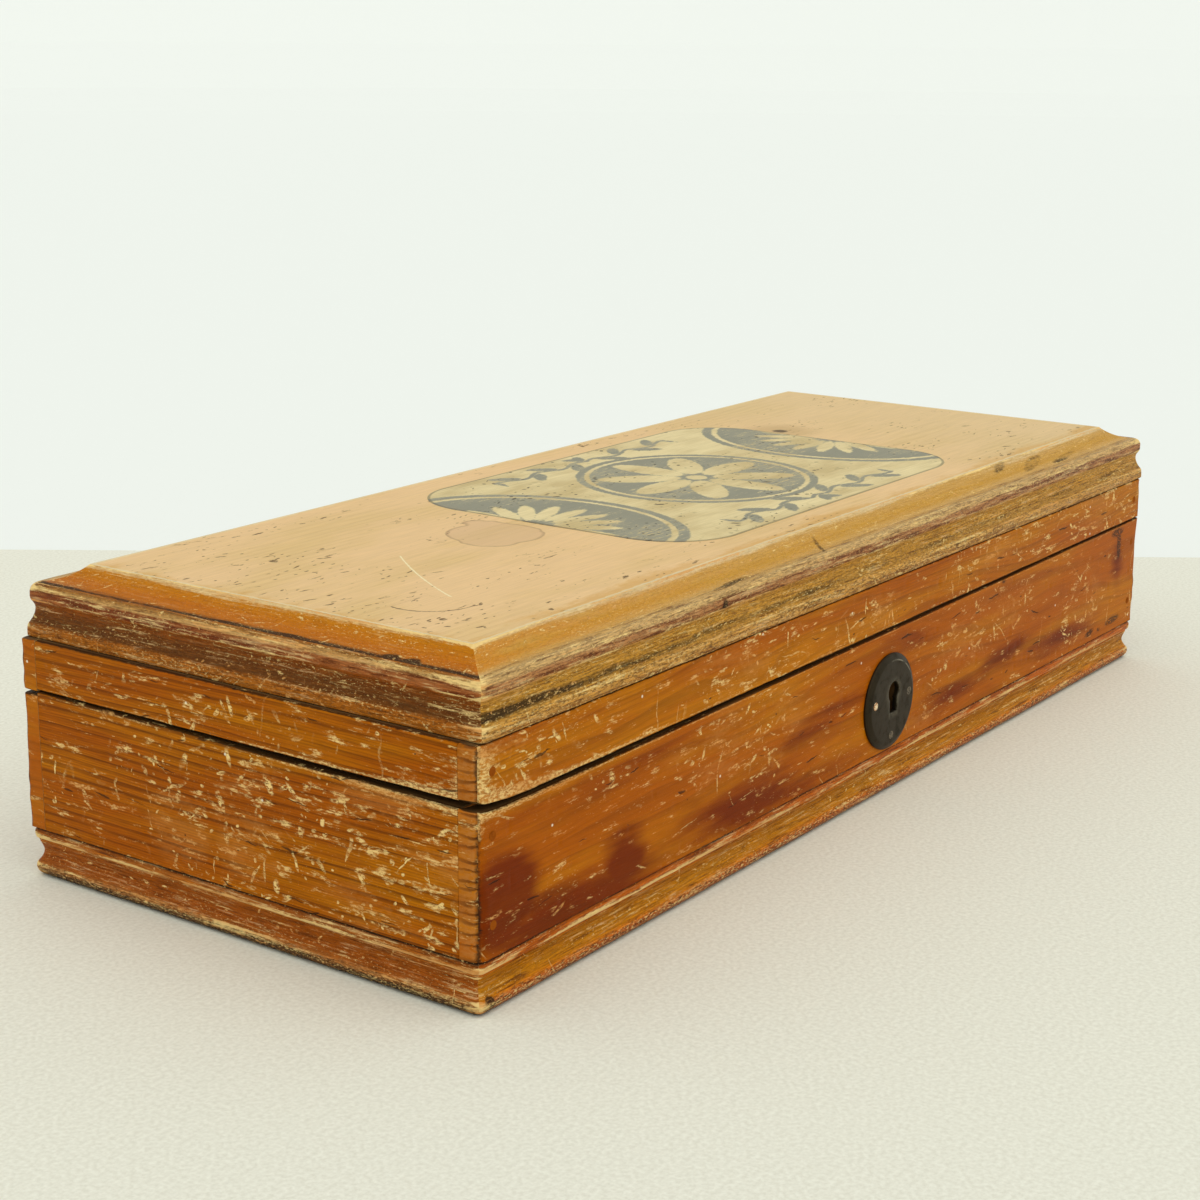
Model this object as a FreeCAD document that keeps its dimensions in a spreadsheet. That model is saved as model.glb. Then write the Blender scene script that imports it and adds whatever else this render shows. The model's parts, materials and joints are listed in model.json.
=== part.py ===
import FreeCAD, Part
import math
import os
import re
import Sketcher
from FreeCAD import Rotation, Vector

# An old lapped pine box with a moulded hinged lid and a box lock, as a parametric document.
# X runs along the box, -Y is the front with the keyhole and +Z is up. The origin is the middle
# of the face that the box stands on. Lengths are millimetres and live in the sheet named Sizes.

# Alias, value and meaning of each driving dimension
SIZES = [
    ("body_length", 290, "outside length of the case"),
    ("body_depth", 117, "outside depth of the case, front to back"),
    ("wall_thick", 8, "thickness of the case boards and the lid rails"),
    ("wall_height", 28.7, "height of the case boards"),
    ("lap_lip", 4.5, "wood left on a front or back board where it laps over an end board"),
    ("base_thick", 10.5, "thickness of the base board"),
    ("lid_gap", 0.6, "open line between the case and the lid"),
    ("rail_height", 10.8, "height of the lid rails"),
    ("top_thick", 14.2, "thickness of the lid's top board"),
    ("top_shift", 1.3, "how far off centre the top board was glued"),
    ("groove_bevel", 0.5, "small bevel that makes the line between two boards"),
    ("torus_height", 2.3, "upright lower edge of the top board"),
    ("torus_round", 0.6, "rounding above that edge, and the set back of the fillet"),
    ("hollow_height", 4.6, "height of the hollow under the fillet"),
    ("hollow_depth", 0.8, "depth of the hollow under the fillet"),
    ("fillet_height", 2.0, "upright fillet round the top board"),
    ("nose_round", 1.5, "rounded arris above the fillet"),
    ("cove_run", 7.4, "width of the broad cove round the field"),
    ("foot_round", 2.0, "rounding of the base board's foot"),
    ("bead_height", 0.6, "upright part of the base bead"),
    ("bead_round", 0.6, "rounding on both sides of the base hollow"),
    ("base_hollow_height", 4.3, "height of the base board's hollow"),
    ("base_hollow_depth", 0.9, "depth of the base board's hollow"),
    ("nail_radius", 0.7, "shank of a base nail"),
    ("nail_head_radius", 1.6, "head of a base nail"),
    ("nail_head", 0.6, "height of a base nail's head"),
    ("nail_bite", 11, "length of a base nail in the wall above it"),
    ("outer_nail_share", 0.43, "place of the outer base nails along the length"),
    ("inner_nail_share", 0.16, "place of the inner base nails along the length"),
    ("brad_radius", 0.5, "shank of a corner brad"),
    ("brad_head_radius", 0.9, "head of a corner brad"),
    ("brad_head", 0.4, "height of a corner brad's head"),
    ("brad_bite", 11, "length of a corner brad in the end board"),
    ("low_brad_share", 0.22, "height of the lower corner brad on the wall"),
    ("high_brad_share", 0.8, "height of the upper corner brad on the wall"),
    ("hinge_length", 25, "length of a hinge"),
    ("hinge_share", 0.34, "place of the hinges along the length, from the middle"),
    ("leaf_thick", 1.2, "thickness of a hinge leaf"),
    ("leaf_width", 6.2, "width of a hinge leaf on its board"),
    ("knuckle_radius", 1.8, "outside radius of a hinge knuckle"),
    ("knuckle_share", 0.36, "share of the hinge length that the lid's knuckle takes"),
    ("knuckle_gap", 0.2, "end play between two knuckles"),
    ("knuckle_clearance", 0.3, "gap between a knuckle and the back of the box"),
    ("pin_radius", 0.85, "hinge pin"),
    ("pin_clearance", 0.05, "running gap round the hinge pin"),
    ("screw_radius", 0.8, "shank of a wood screw"),
    ("screw_head_radius", 1.7, "head of a wood screw"),
    ("screw_head", 0.9, "height of a countersunk screw head"),
    ("screw_length", 6.2, "length of a wood screw"),
    ("screw_slot", 0.4, "width of a screw's slot"),
    ("screw_slot_depth", 0.4, "depth of a screw's slot"),
    ("leaf_screw_share", 0.3, "place of a leaf's screws along the hinge, from its middle"),
    ("lock_shift", 3.4, "how far the lock sits to the right of the middle"),
    ("lock_margin", 2.5, "wood between the base board and the lock plate"),
    ("plate_thick", 1.2, "thickness of the lock plate, its flange and the strike plate"),
    ("flange_width", 6.6, "width of the lock plate's top flange and of the strike plate"),
    ("lock_skin", 2.2, "wood left in front of the lock"),
    ("cap_width", 34, "width of the lock cap"),
    ("cap_wall", 0.6, "thickness of the lock cap"),
    ("cap_margin", 1.2, "lock plate below the cap"),
    ("wing_width", 5.0, "lock plate on each side of the cap, where its screws are"),
    ("low_screw_share", 0.14, "height of the lower lock screws on the plate"),
    ("high_screw_share", 0.72, "height of the upper lock screws on the plate"),
    ("bolt_share", 0.55, "share of the room in the cap that the bolt's thickness takes"),
    ("hook_share", 0.45, "share of the room in the cap that the hook's thickness takes"),
    ("bolt_drop", 3.3, "bolt below the top of the case"),
    ("bolt_height", 4.0, "height of the bolt's bar"),
    ("bolt_length", 18.4, "length of the bolt's bar"),
    ("bolt_travel", 3.2, "travel of the bolt"),
    ("bolt_clearance", 0.6, "gap between the withdrawn bolt and the hook"),
    ("tail_left", 6.0, "bolt tail to the left of the key's axis"),
    ("tail_right", 2.8, "bolt tail to the right of the key's axis"),
    ("talon_width", 3.0, "notch in the bolt's tail that the key turns in"),
    ("talon_depth", 1.4, "depth of that notch"),
    ("key_share", 0.449, "height of the key's axis on the wall"),
    ("key_reach", 4.4, "radius at which the key meets the bolt's tail"),
    ("key_post_radius", 0.9, "post that a pipe key turns on"),
    ("key_post_length", 6.0, "length of the key post"),
    ("stump_radius", 0.8, "stumps that guide the bolt"),
    ("stump_clearance", 0.1, "gap between the bolt and its stumps"),
    ("stump_margin", 3.0, "guide slot from the bolt's end"),
    ("spring_thick", 0.4, "bolt spring"),
    ("spring_clearance", 0.1, "gap between the spring and the flange"),
    ("spring_run", 9.0, "length of the bolt spring"),
    ("hook_reach", 10.0, "shank of the strike's hook beside the key's axis"),
    ("hook_width", 3.0, "width of that shank"),
    ("hook_drop", 10.6, "hook below the lid"),
    ("toe_length", 3.0, "toe of the hook that the bolt holds"),
    ("toe_height", 2.2, "height of that toe"),
    ("hook_clearance", 0.7, "gap round the hook in the flange's slot"),
    ("strike_length", 40, "length of the strike plate"),
    ("strike_screw_inset", 2.5, "distance of a strike screw from the plate's end"),
    ("keyhole_radius", 2.0, "round part of the keyhole"),
    ("keyhole_slot", 2.2, "width of the keyhole's slot"),
    ("keyhole_drop", 5.8, "keyhole's slot below the key's axis"),
    ("escutcheon_radius", 11.15, "round plate about the keyhole"),
    ("escutcheon_thick", 1.2, "thickness of that plate"),
    ("escutcheon_bevel", 0.7, "bevel round that plate"),
    ("escutcheon_drop", 1.2, "middle of that plate below the key's axis"),
    ("escutcheon_shift", -0.6, "middle of that plate beside the key's axis"),
    ("plate_pin_radius", 0.6, "shank of an escutcheon pin"),
    ("plate_pin_head_radius", 0.95, "head of an escutcheon pin"),
    ("plate_pin_head", 0.35, "height of an escutcheon pin's head"),
    ("plate_pin_bite", 1.7, "length of an escutcheon pin in the wood"),
    ("plate_pin_share", 0.7, "place of the pins on the escutcheon's radius"),
    ("side_pin_lift_share", 0.07, "lift of the side pins, on the escutcheon's radius"),
    ("overrun", 1, "how far cutting shapes run past what they cut"),
]

# Places that several pieces share, written in the sheet's names
FRONT = "(-body_depth / 2)"
BACK = "(body_depth / 2)"
INNER = f"({FRONT} + wall_thick)"
CASE_TOP = "(base_thick + wall_height)"
LID_BOTTOM = f"({CASE_TOP} + lid_gap)"
TOP_BOTTOM = f"({LID_BOTTOM} + rail_height)"
HINGE_Y = f"({BACK} + knuckle_clearance + knuckle_radius)"
HINGE_Z = f"({CASE_TOP} + lid_gap / 2)"
LID_KNUCKLE = "(hinge_length * knuckle_share)"
LOCK_BOTTOM = "(base_thick + lock_margin)"
LOCK_WIDTH = "(cap_width + 2 * wing_width)"
LOCK_BACK = f"({INNER} - plate_thick)"
LOCK_ROOM = "(wall_thick - plate_thick - lock_skin - cap_wall)"
LOCK_MIDDLE = f"({LOCK_BACK} - {LOCK_ROOM} / 2)"
KEY_Z = "(base_thick + wall_height * key_share)"
HOOK_X = "(lock_shift + hook_reach)"
BOLT_TOP = f"({CASE_TOP} - bolt_drop)"
BOLT_BOTTOM = f"({BOLT_TOP} - bolt_height)"
BOLT_END = f"({HOOK_X} - toe_length - bolt_clearance)"
STUMP_X = f"({BOLT_END} - stump_margin - stump_radius - stump_clearance)"
PLATE_X = "(lock_shift + escutcheon_shift)"
PLATE_Z = f"({KEY_Z} - escutcheon_drop)"

# The way a fastener's head looks: the turn from +Z, the axis and its sign
FACES = {
    "up": (Rotation(Vector(1, 0, 0), 0), 2, "+"),
    "down": (Rotation(Vector(1, 0, 0), 180), 2, "-"),
    "rear": (Rotation(Vector(1, 0, 0), -90), 1, "+"),
    "front": (Rotation(Vector(1, 0, 0), 90), 1, "-"),
}
ALONG_X = Rotation(Vector(0, 1, 0), 90)
SIDES = {"left": "-", "right": "+"}

doc = FreeCAD.newDocument("WoodenBox")
sheet = doc.addObject("Spreadsheet::Sheet", "Sizes")
for row, (alias, number, meaning) in enumerate(SIZES, start=1):
    sheet.set(f"A{row}", meaning)
    sheet.set(f"B{row}", str(number))
    sheet.setAlias(f"B{row}", alias)
doc.recompute()


def formula(text):
    """The text with each size's name led by the sheet's, as an expression of another object needs."""
    return re.sub(r"[a-z][a-z_]*", r"Sizes.\g<0>", text)


def value(text):
    """The number that a text in the sheet's names stands for now."""
    return float(sheet.evalExpression(text))


def bind(item, **sizes):
    """Tie properties of a document object to texts in the sheet's names."""
    for name, text in sizes.items():
        item.setExpression(name, formula(text))


def place(item, x, y, z, turn=None):
    """Tie a document object's place to three texts, after an optional turn."""
    if turn is not None:
        item.Placement.Rotation = turn
    for name, text in zip("xyz", (x, y, z)):
        item.setExpression(f"Placement.Base.{name}", formula(text))


def box(label, x, y, z):
    """A block whose x, y and z are each a pair of texts: where it starts and where it ends."""
    item = doc.addObject("Part::Box", label)
    bind(item, **{
        name: f"{end} - ({start})" for name, (start, end) in zip(("Length", "Width", "Height"), (x, y, z))
    })
    place(item, x[0], y[0], z[0])
    return item


def rod(label, radius, length, point, turn):
    """A cylinder from a point, along +Z before its turn."""
    item = doc.addObject("Part::Cylinder", label)
    bind(item, Radius=radius, Height=length)
    place(item, *point, turn)
    return item


def gather(kind, label, items):
    """One object of several: a Part::MultiFuse, Part::MultiCommon or Part::Compound."""
    item = doc.addObject(kind, label)
    setattr(item, "Links" if kind == "Part::Compound" else "Shapes", items)
    return item


def cut(label, base, *tools):
    """The base less every tool."""
    item = doc.addObject("Part::Cut", label)
    item.Base = base
    item.Tool = tools[0] if len(tools) == 1 else gather("Part::MultiFuse", f"{label}_tools", list(tools))
    return item


def moved(point, face, distance):
    """The point moved by a text along the way a fastener's head looks."""
    _, axis, sign = FACES[face]
    there = list(point)
    there[axis] = f"{there[axis]} {sign} ({distance})"
    return there


def fastener(label, point, face, sizes, length):
    """A nail, pin or screw blank: its head's middle at the point, its shank going in behind."""
    radius, head_radius, head = sizes
    turn = FACES[face][0]
    cone = doc.addObject("Part::Cone", f"{label}_head")
    bind(cone, Radius1=radius, Radius2=head_radius, Height=head)
    place(cone, *moved(point, face, f"-{head}"), turn)
    shank = rod(f"{label}_shank", radius, length, moved(point, face, f"-({length})"), turn)
    return gather("Part::MultiFuse", label, [cone, shank])


def screw(label, point, face):
    """A countersunk wood screw blank and the same screw with its slot."""
    blank = fastener(f"{label}_blank", point, face, ("screw_radius", "screw_head_radius", "screw_head"),
                     "screw_length")
    _, axis, sign = FACES[face]
    spans = [(f"{at} - screw_slot / 2", f"{at} + screw_slot / 2") for at in point]
    spans[0] = (f"{point[0]} - screw_head_radius - overrun", f"{point[0]} + screw_head_radius + overrun")
    below, above = ("screw_slot_depth", "overrun") if sign == "+" else ("overrun", "screw_slot_depth")
    spans[axis] = (f"{point[axis]} - {below}", f"{point[axis]} + {above}")
    return blank, cut(label, blank, box(f"{label}_slot", *spans))


def fix(sketch, geometry, end, axis, text):
    """Hold one coordinate of a sketch point at a text in the sheet's names."""
    number = sketch.addConstraint(Sketcher.Constraint(f"Distance{axis}", -1, 1, geometry, end, value(text)))
    sketch.setExpression(f"Constraints[{number}]", formula(text))


def outline(sketch, corners):
    """Draw a closed outline. A corner is its two coordinates and the middle of the arc that leaves it,
    or None for a line. Where an arc arrives, one coordinate of the corner follows from the arc."""
    points = [Vector(value(across), value(upward), 0) for across, upward, _ in corners]
    ends = []
    for here, there, (_, _, middle) in zip(points, points[1:] + points[:1], corners):
        if middle is None:
            sketch.addGeometry(Part.LineSegment(here, there))
            ends.append((1, 2))
            continue
        centre = Vector(value(middle[0]), value(middle[1]), 0)
        angles = [math.atan2(*(point - centre)[1::-1]) for point in (here, there)]
        forward = (angles[1] - angles[0]) % math.tau < math.pi
        begin, finish = angles if forward else angles[::-1]
        circle = Part.Circle(centre, Vector(0, 0, 1), centre.distanceToPoint(here))
        sketch.addGeometry(Part.ArcOfCircle(circle, begin, begin + (finish - begin) % math.tau))
        ends.append((1, 2) if forward else (2, 1))
    for number, (across, upward, middle) in enumerate(corners):
        before = number - 1 if number else len(corners) - 1
        start = ends[number][0]
        arriving = corners[before][2]
        sketch.addConstraint(Sketcher.Constraint("Coincident", before, ends[before][1], number, start))
        spoke = Vector(0, 0, 0)
        if arriving is not None:
            spoke = points[number] - Vector(value(arriving[0]), value(arriving[1]), 0)
        if arriving is None or abs(spoke.x) < abs(spoke.y):
            fix(sketch, number, start, "X", across)
        if arriving is None or abs(spoke.x) >= abs(spoke.y):
            fix(sketch, number, start, "Y", upward)
        if middle is not None:
            fix(sketch, number, 3, "X", middle[0])
            fix(sketch, number, 3, "Y", middle[1])


def sketched(label, plane, corners):
    """A body with one sketch of a closed outline on one of its origin planes."""
    body = doc.addObject("PartDesign::Body", label)
    sketch = body.newObject("Sketcher::SketchObject", f"{label}_sketch")
    support = [item for item in body.Origin.OriginFeatures if item.Role == plane][0]
    sketch.AttachmentSupport = [(support, "")]
    sketch.MapMode = "FlatFace"
    outline(sketch, corners)
    return body, sketch


def padded(label, plane, corners, length):
    """A body padded to both sides of its sketch."""
    body, sketch = sketched(label, plane, corners)
    pad = body.newObject("PartDesign::Pad", f"{label}_pad")
    pad.Profile = sketch
    pad.SideType = "Symmetric"
    bind(pad, Length=length)
    return body


def polygon(*corners):
    """An outline of straight lines."""
    return [(across, upward, None) for across, upward in corners]


def both_sides(middle, side):
    """A whole section from its right side, listed upward from the bottom, and its mirror image."""
    def shifted(sign, corner, centre):
        return (f"{middle} {sign} ({corner[0]})", corner[1],
                centre and (f"{middle} {sign} ({centre[0]})", centre[1]))

    right = [shifted("+", corner, corner[2]) for corner in side]
    centres = [None] + [corner[2] for corner in side[:-1]]
    left = [shifted("-", corner, centre) for corner, centre in zip(side, centres)]
    return right + left[::-1]


def hollow(across, low, height, depth):
    """Two corners with a hollow between them, and the middle of its arc."""
    radius = f"(({height} / 2) ^ 2 + {depth} ^ 2) / (2 * {depth})"
    middle = (f"{across} - {depth} + {radius}", f"{low} + {height} / 2")
    return (across, low, middle), f"{low} + {height}"


def top_side(half):
    """Right side of the top board's section: torus, hollow, fillet, rounded nose and cove."""
    torus_top = f"{TOP_BOTTOM} + torus_height"
    face = f"{half} - torus_round"
    lower, hollow_top = hollow(face, f"{torus_top} + torus_round", "hollow_height", "hollow_depth")
    fillet_top = f"{hollow_top} + fillet_height"
    cove_low = f"{fillet_top} + nose_round"
    rise = f"({TOP_BOTTOM} + top_thick - ({cove_low}))"
    cove_radius = f"(cove_run ^ 2 + {rise} ^ 2) / (2 * {rise})"
    return [
        (f"{half} - groove_bevel", TOP_BOTTOM, None),
        (half, f"{TOP_BOTTOM} + groove_bevel", None),
        (half, torus_top, (face, torus_top)),
        lower,
        (face, hollow_top, None),
        (face, fillet_top, (f"{face} - nose_round", fillet_top)),
        (f"{face} - nose_round", cove_low, (f"{face} - nose_round", f"{cove_low} + {cove_radius}")),
        (f"{face} - nose_round - cove_run", f"{TOP_BOTTOM} + top_thick", None),
    ]


def base_side(half):
    """Right side of the base board's section: rounded foot, bead, hollow and square block."""
    bead_top = "foot_round + bead_height"
    face = f"{half} - bead_round"
    lower, hollow_top = hollow(face, f"{bead_top} + bead_round", "base_hollow_height", "base_hollow_depth")
    block = f"{hollow_top} + bead_round"
    return [
        (f"{half} - foot_round", "0", (f"{half} - foot_round", "foot_round")),
        (half, "foot_round", None),
        (half, bead_top, (face, bead_top)),
        lower,
        (face, hollow_top, (face, block)),
        (half, block, None),
        (half, "base_thick - groove_bevel", None),
        (f"{half} - groove_bevel", "base_thick", None),
    ]


def moulded(label, side, middle):
    """A board with the same moulding on its four edges: the part that two long sections share."""
    lengthwise = padded(f"{label}_along", "YZ_Plane", both_sides("0", side("body_depth / 2")),
                        "2 * body_length")
    crosswise = padded(f"{label}_across", "XZ_Plane", both_sides(middle, side("body_length / 2")),
                       "2 * body_depth")
    return gather("Part::MultiCommon", label, [lengthwise, crosswise])


def long_board(label, face, low, high):
    """A front or back board of the case or the lid, rebated inside at both ends for the end boards."""
    sign = "+" if face == FRONT else "-"
    inner = f"{face} {sign} wall_thick"
    lip = f"{face} {sign} lap_lip"
    past = f"{inner} {sign} overrun"
    board = padded(f"{label}_blank", "YZ_Plane", board_section(face, inner, sign, low, high), "body_length")
    depth = (lip, past) if sign == "+" else (past, lip)
    height = (f"{low} - overrun", f"{high} + overrun")
    end = "body_length / 2"
    rebates = [
        box(f"{label}_left_rebate", (f"-{end} - overrun", f"-{end} + wall_thick"), depth, height),
        box(f"{label}_right_rebate", (f"{end} - wall_thick", f"{end} + overrun"), depth, height),
    ]
    return board, rebates


def board_section(face, inner, sign, low, high):
    """Section of a case board, or of a lid rail, which has a small bevel under the top board."""
    if high == CASE_TOP:
        return polygon((face, low), (inner, low), (inner, high), (face, high))
    bevel = f"{face} {sign} groove_bevel"
    return polygon((face, low), (inner, low), (inner, high), (bevel, high),
                   (face, f"{high} - groove_bevel"))


def end_board(label, side, low, high):
    """An end board of the case or the lid, between the lips of the long boards."""
    sign = SIDES[side]
    face = f"{sign}body_length / 2"
    inward = "+" if sign == "-" else "-"
    inner = f"{face} {inward} wall_thick"
    return padded(label, "XZ_Plane", board_section(face, inner, inward, low, high),
                  "body_depth - 2 * lap_lip")


def corner_brads(label, heights):
    """Fine brads through the lips of the front and back boards into the end boards."""
    sizes = ("brad_radius", "brad_head_radius", "brad_head")
    groups = {"front": [], "back": [], "left": [], "right": []}
    for face, y in (("front", FRONT), ("rear", BACK)):
        for side, sign in SIDES.items():
            for number, z in enumerate(heights):
                point = (f"{sign}(body_length - wall_thick) / 2", y, z)
                brad = fastener(f"{label}_{face}_{side}_{number}", point, face, sizes,
                                "lap_lip + brad_bite")
                groups["front" if face == "front" else "back"].append(brad)
                groups[side].append(brad)
    return groups, gather("Part::Compound", label, groups["front"] + groups["back"])


def base_nails(label):
    """Nails from below through the base board into the middle of each wall."""
    sizes = ("nail_radius", "nail_head_radius", "nail_head")
    wall = {"front": f"{FRONT} + wall_thick / 2", "back": f"{BACK} - wall_thick / 2"}
    shares = ("outer_nail_share", "inner_nail_share")
    spread = [f"{sign}body_length * {share}" for sign in "-+" for share in shares]
    points = {name: [(x, y, "0") for x in spread] for name, y in wall.items()}
    for side, sign in SIDES.items():
        points[side] = [(f"{sign}(body_length - wall_thick) / 2", "0", "0")]
    groups = {
        name: [
            fastener(f"{label}_{name}_{number}", point, "down", sizes, "base_thick + nail_bite")
            for number, point in enumerate(places)
        ]
        for name, places in points.items()
    }
    everything = [nail for nails in groups.values() for nail in nails]
    return groups, gather("Part::Compound", label, everything)


def hinge(side):
    """One butt hinge: case leaf, lid leaf, pin, the gains that take the leaves, and the screws."""
    middle = f"({SIDES[side]}body_length * hinge_share)"
    span = (f"{middle} - hinge_length / 2", f"{middle} + hinge_length / 2")
    knuckles = {
        "case": [
            (span[0], f"{middle} - {LID_KNUCKLE} / 2 - knuckle_gap"),
            (f"{middle} + {LID_KNUCKLE} / 2 + knuckle_gap", span[1]),
        ],
        "lid": [(f"{middle} - {LID_KNUCKLE} / 2", f"{middle} + {LID_KNUCKLE} / 2")],
    }
    levels = {
        "case": (f"{CASE_TOP} - leaf_thick", CASE_TOP, CASE_TOP, "up"),
        "lid": (LID_BOTTOM, f"{LID_BOTTOM} + leaf_thick", LID_BOTTOM, "down"),
    }
    axis = (HINGE_Y, HINGE_Z)
    bore = rod(f"{side}_hinge_bore", "pin_radius + pin_clearance", "hinge_length + 2 * overrun",
               (f"{span[0]} - overrun", *axis), ALONG_X)
    pin = rod(f"{side}_hinge_pin", "pin_radius", "hinge_length", (span[0], *axis), ALONG_X)
    made = {"pin": pin}
    for name, (low, high, face, look) in levels.items():
        label = f"{side}_hinge_{name}_leaf"
        plate = box(f"{label}_plate", span, (f"{BACK} - leaf_width", BACK), (low, high))
        pieces = [plate]
        for number, (start, end) in enumerate(knuckles[name]):
            pieces.append(box(f"{label}_web_{number}", (start, end), (BACK, HINGE_Y), (low, high)))
            pieces.append(rod(f"{label}_knuckle_{number}", "knuckle_radius", f"{end} - ({start})",
                              (start, *axis), ALONG_X))
        whole = gather("Part::MultiFuse", f"{label}_blank", pieces)
        screws = [
            screw(f"{label}_screw_{number}", (f"{middle} {sign} hinge_length * leaf_screw_share",
                                              f"{BACK} - leaf_width / 2", face), look)
            for number, sign in enumerate("-+")
        ]
        made[name] = {
            "leaf": cut(label, whole, bore, *[blank for blank, _ in screws]),
            "gain": plate,
            "blanks": [blank for blank, _ in screws],
            "screws": [finished for _, finished in screws],
        }
    return made


def across_lock(width):
    """Start and end of a span of that width, centred on the lock."""
    return f"lock_shift - {width} / 2", f"lock_shift + {width} / 2"


def keyhole_tool():
    """The keyhole's round part and slot, from in front of its plate into the lock cap."""
    depth = (f"{FRONT} - escutcheon_thick - overrun", f"{FRONT} + lock_skin + cap_wall + overrun")
    length = f"{depth[1]} - ({depth[0]})"
    hole = rod("keyhole_round", "keyhole_radius", length, ("lock_shift", depth[1], KEY_Z), FACES["front"][0])
    slot = box("keyhole_slot", across_lock("keyhole_slot"), depth, (f"{KEY_Z} - keyhole_drop", KEY_Z))
    return gather("Part::MultiFuse", "keyhole", [hole, slot])


def lock_plate_blank():
    """The lock's plate and its top flange, bent from one strip."""
    section = polygon(
        (LOCK_BACK, LOCK_BOTTOM), (INNER, LOCK_BOTTOM), (INNER, CASE_TOP),
        (f"{INNER} - flange_width", CASE_TOP), (f"{INNER} - flange_width", f"{CASE_TOP} - plate_thick"),
        (LOCK_BACK, f"{CASE_TOP} - plate_thick"),
    )
    plate = padded("lock_plate_blank", "YZ_Plane", section, LOCK_WIDTH)
    place(plate, "lock_shift", "0", "0")
    return plate


def hook_slot():
    """The opening in the lock's flange that the hook drops through."""
    reach = f"{LOCK_ROOM} * hook_share / 2 + hook_clearance"
    return box(
        "hook_slot",
        (f"{HOOK_X} - toe_length - hook_clearance", f"{HOOK_X} + hook_width + hook_clearance"),
        (f"{LOCK_MIDDLE} - ({reach})", f"{LOCK_MIDDLE} + {reach}"),
        (f"{CASE_TOP} - plate_thick - overrun", f"{CASE_TOP} + overrun"),
    )


def lock_cap(keyhole):
    """The shallow cap that covers the works, open to the plate and to the flange."""
    low = f"{LOCK_BOTTOM} + cap_margin"
    top = f"{CASE_TOP} - plate_thick"
    shell = box("lock_cap_shell", across_lock("cap_width"), (f"{FRONT} + lock_skin", LOCK_BACK), (low, top))
    room = box("lock_cap_room", across_lock("(cap_width - 2 * cap_wall)"),
               (f"{FRONT} + lock_skin + cap_wall", f"{LOCK_BACK} + overrun"),
               (f"{low} + cap_wall", f"{top} + overrun"))
    return cut("lock_cap", shell, room, keyhole)


def lock_mortise():
    """The three steps cut into the front board for the plate, its flange and the cap."""
    past_inner = f"{INNER} + overrun"
    past_top = f"{CASE_TOP} + overrun"
    return [
        box("lock_plate_recess", across_lock(LOCK_WIDTH), (LOCK_BACK, past_inner), (LOCK_BOTTOM, past_top)),
        box("lock_flange_recess", across_lock(LOCK_WIDTH), (f"{INNER} - flange_width", past_inner),
            (f"{CASE_TOP} - plate_thick", past_top)),
        box("lock_cap_mortise", across_lock("cap_width"), (f"{FRONT} + lock_skin", past_inner),
            (f"{LOCK_BOTTOM} + cap_margin", past_top)),
    ]


def lock_bolt():
    """The bolt: a bar with a guide slot, and a tail with the notch that the key turns in."""
    start = f"{BOLT_END} - bolt_length"
    tail = f"{KEY_Z} + key_reach"
    left = "lock_shift - tail_left"
    right = "lock_shift + tail_right"
    talon = [f"lock_shift - bolt_travel / 2 {sign} talon_width / 2" for sign in "-+"]
    roof = f"{tail} + talon_depth"
    body = padded("lock_bolt_blank", "XZ_Plane", polygon(
        (start, BOLT_BOTTOM), (left, BOLT_BOTTOM), (left, tail), (talon[0], tail), (talon[0], roof),
        (talon[1], roof), (talon[1], tail), (right, tail), (right, BOLT_BOTTOM), (BOLT_END, BOLT_BOTTOM),
        (BOLT_END, BOLT_TOP), (start, BOLT_TOP),
    ), f"{LOCK_ROOM} * bolt_share")
    place(body, "0", LOCK_MIDDLE, "0")
    reach = "stump_radius + stump_clearance"
    level = f"({BOLT_TOP} + {BOLT_BOTTOM}) / 2"
    slot = box("bolt_guide_slot", (f"{STUMP_X} - bolt_travel - ({reach})", f"{STUMP_X} + {reach}"),
               (f"{LOCK_MIDDLE} - {LOCK_ROOM} / 2", f"{LOCK_MIDDLE} + {LOCK_ROOM} / 2"),
               (f"{level} - ({reach})", f"{level} + {reach}"))
    return cut("lock_bolt", body, slot)


def lock_stumps():
    """Two stumps on the plate: one in the bolt's slot and one under its bar."""
    slot_stump = (STUMP_X, LOCK_BACK, f"({BOLT_TOP} + {BOLT_BOTTOM}) / 2")
    rest_stump = ("lock_shift - tail_left - 2 * stump_radius - stump_clearance", LOCK_BACK,
                  f"{BOLT_BOTTOM} - stump_radius - stump_clearance")
    turn = FACES["front"][0]
    return gather("Part::Compound", "lock_stumps", [
        rod("bolt_slot_stump", "stump_radius", LOCK_ROOM, slot_stump, turn),
        rod("bolt_rest_stump", "stump_radius", LOCK_ROOM, rest_stump, turn),
    ])


def bolt_spring():
    """A bent leaf on the bolt that bears up against the lock's flange."""
    start = f"{BOLT_END} - bolt_length"
    rise = f"{CASE_TOP} - plate_thick - spring_clearance"
    end = f"{start} + spring_run"
    body = padded("bolt_spring", "XZ_Plane", polygon(
        (start, BOLT_TOP), (f"{start} + 2 * spring_thick", BOLT_TOP),
        (end, f"{rise} - spring_thick"), (end, rise),
        (f"{end} - 2 * spring_thick", rise), (start, f"{BOLT_TOP} + spring_thick"),
    ), f"{LOCK_ROOM} * bolt_share / 2")
    place(body, "0", LOCK_MIDDLE, "0")
    return body


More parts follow.
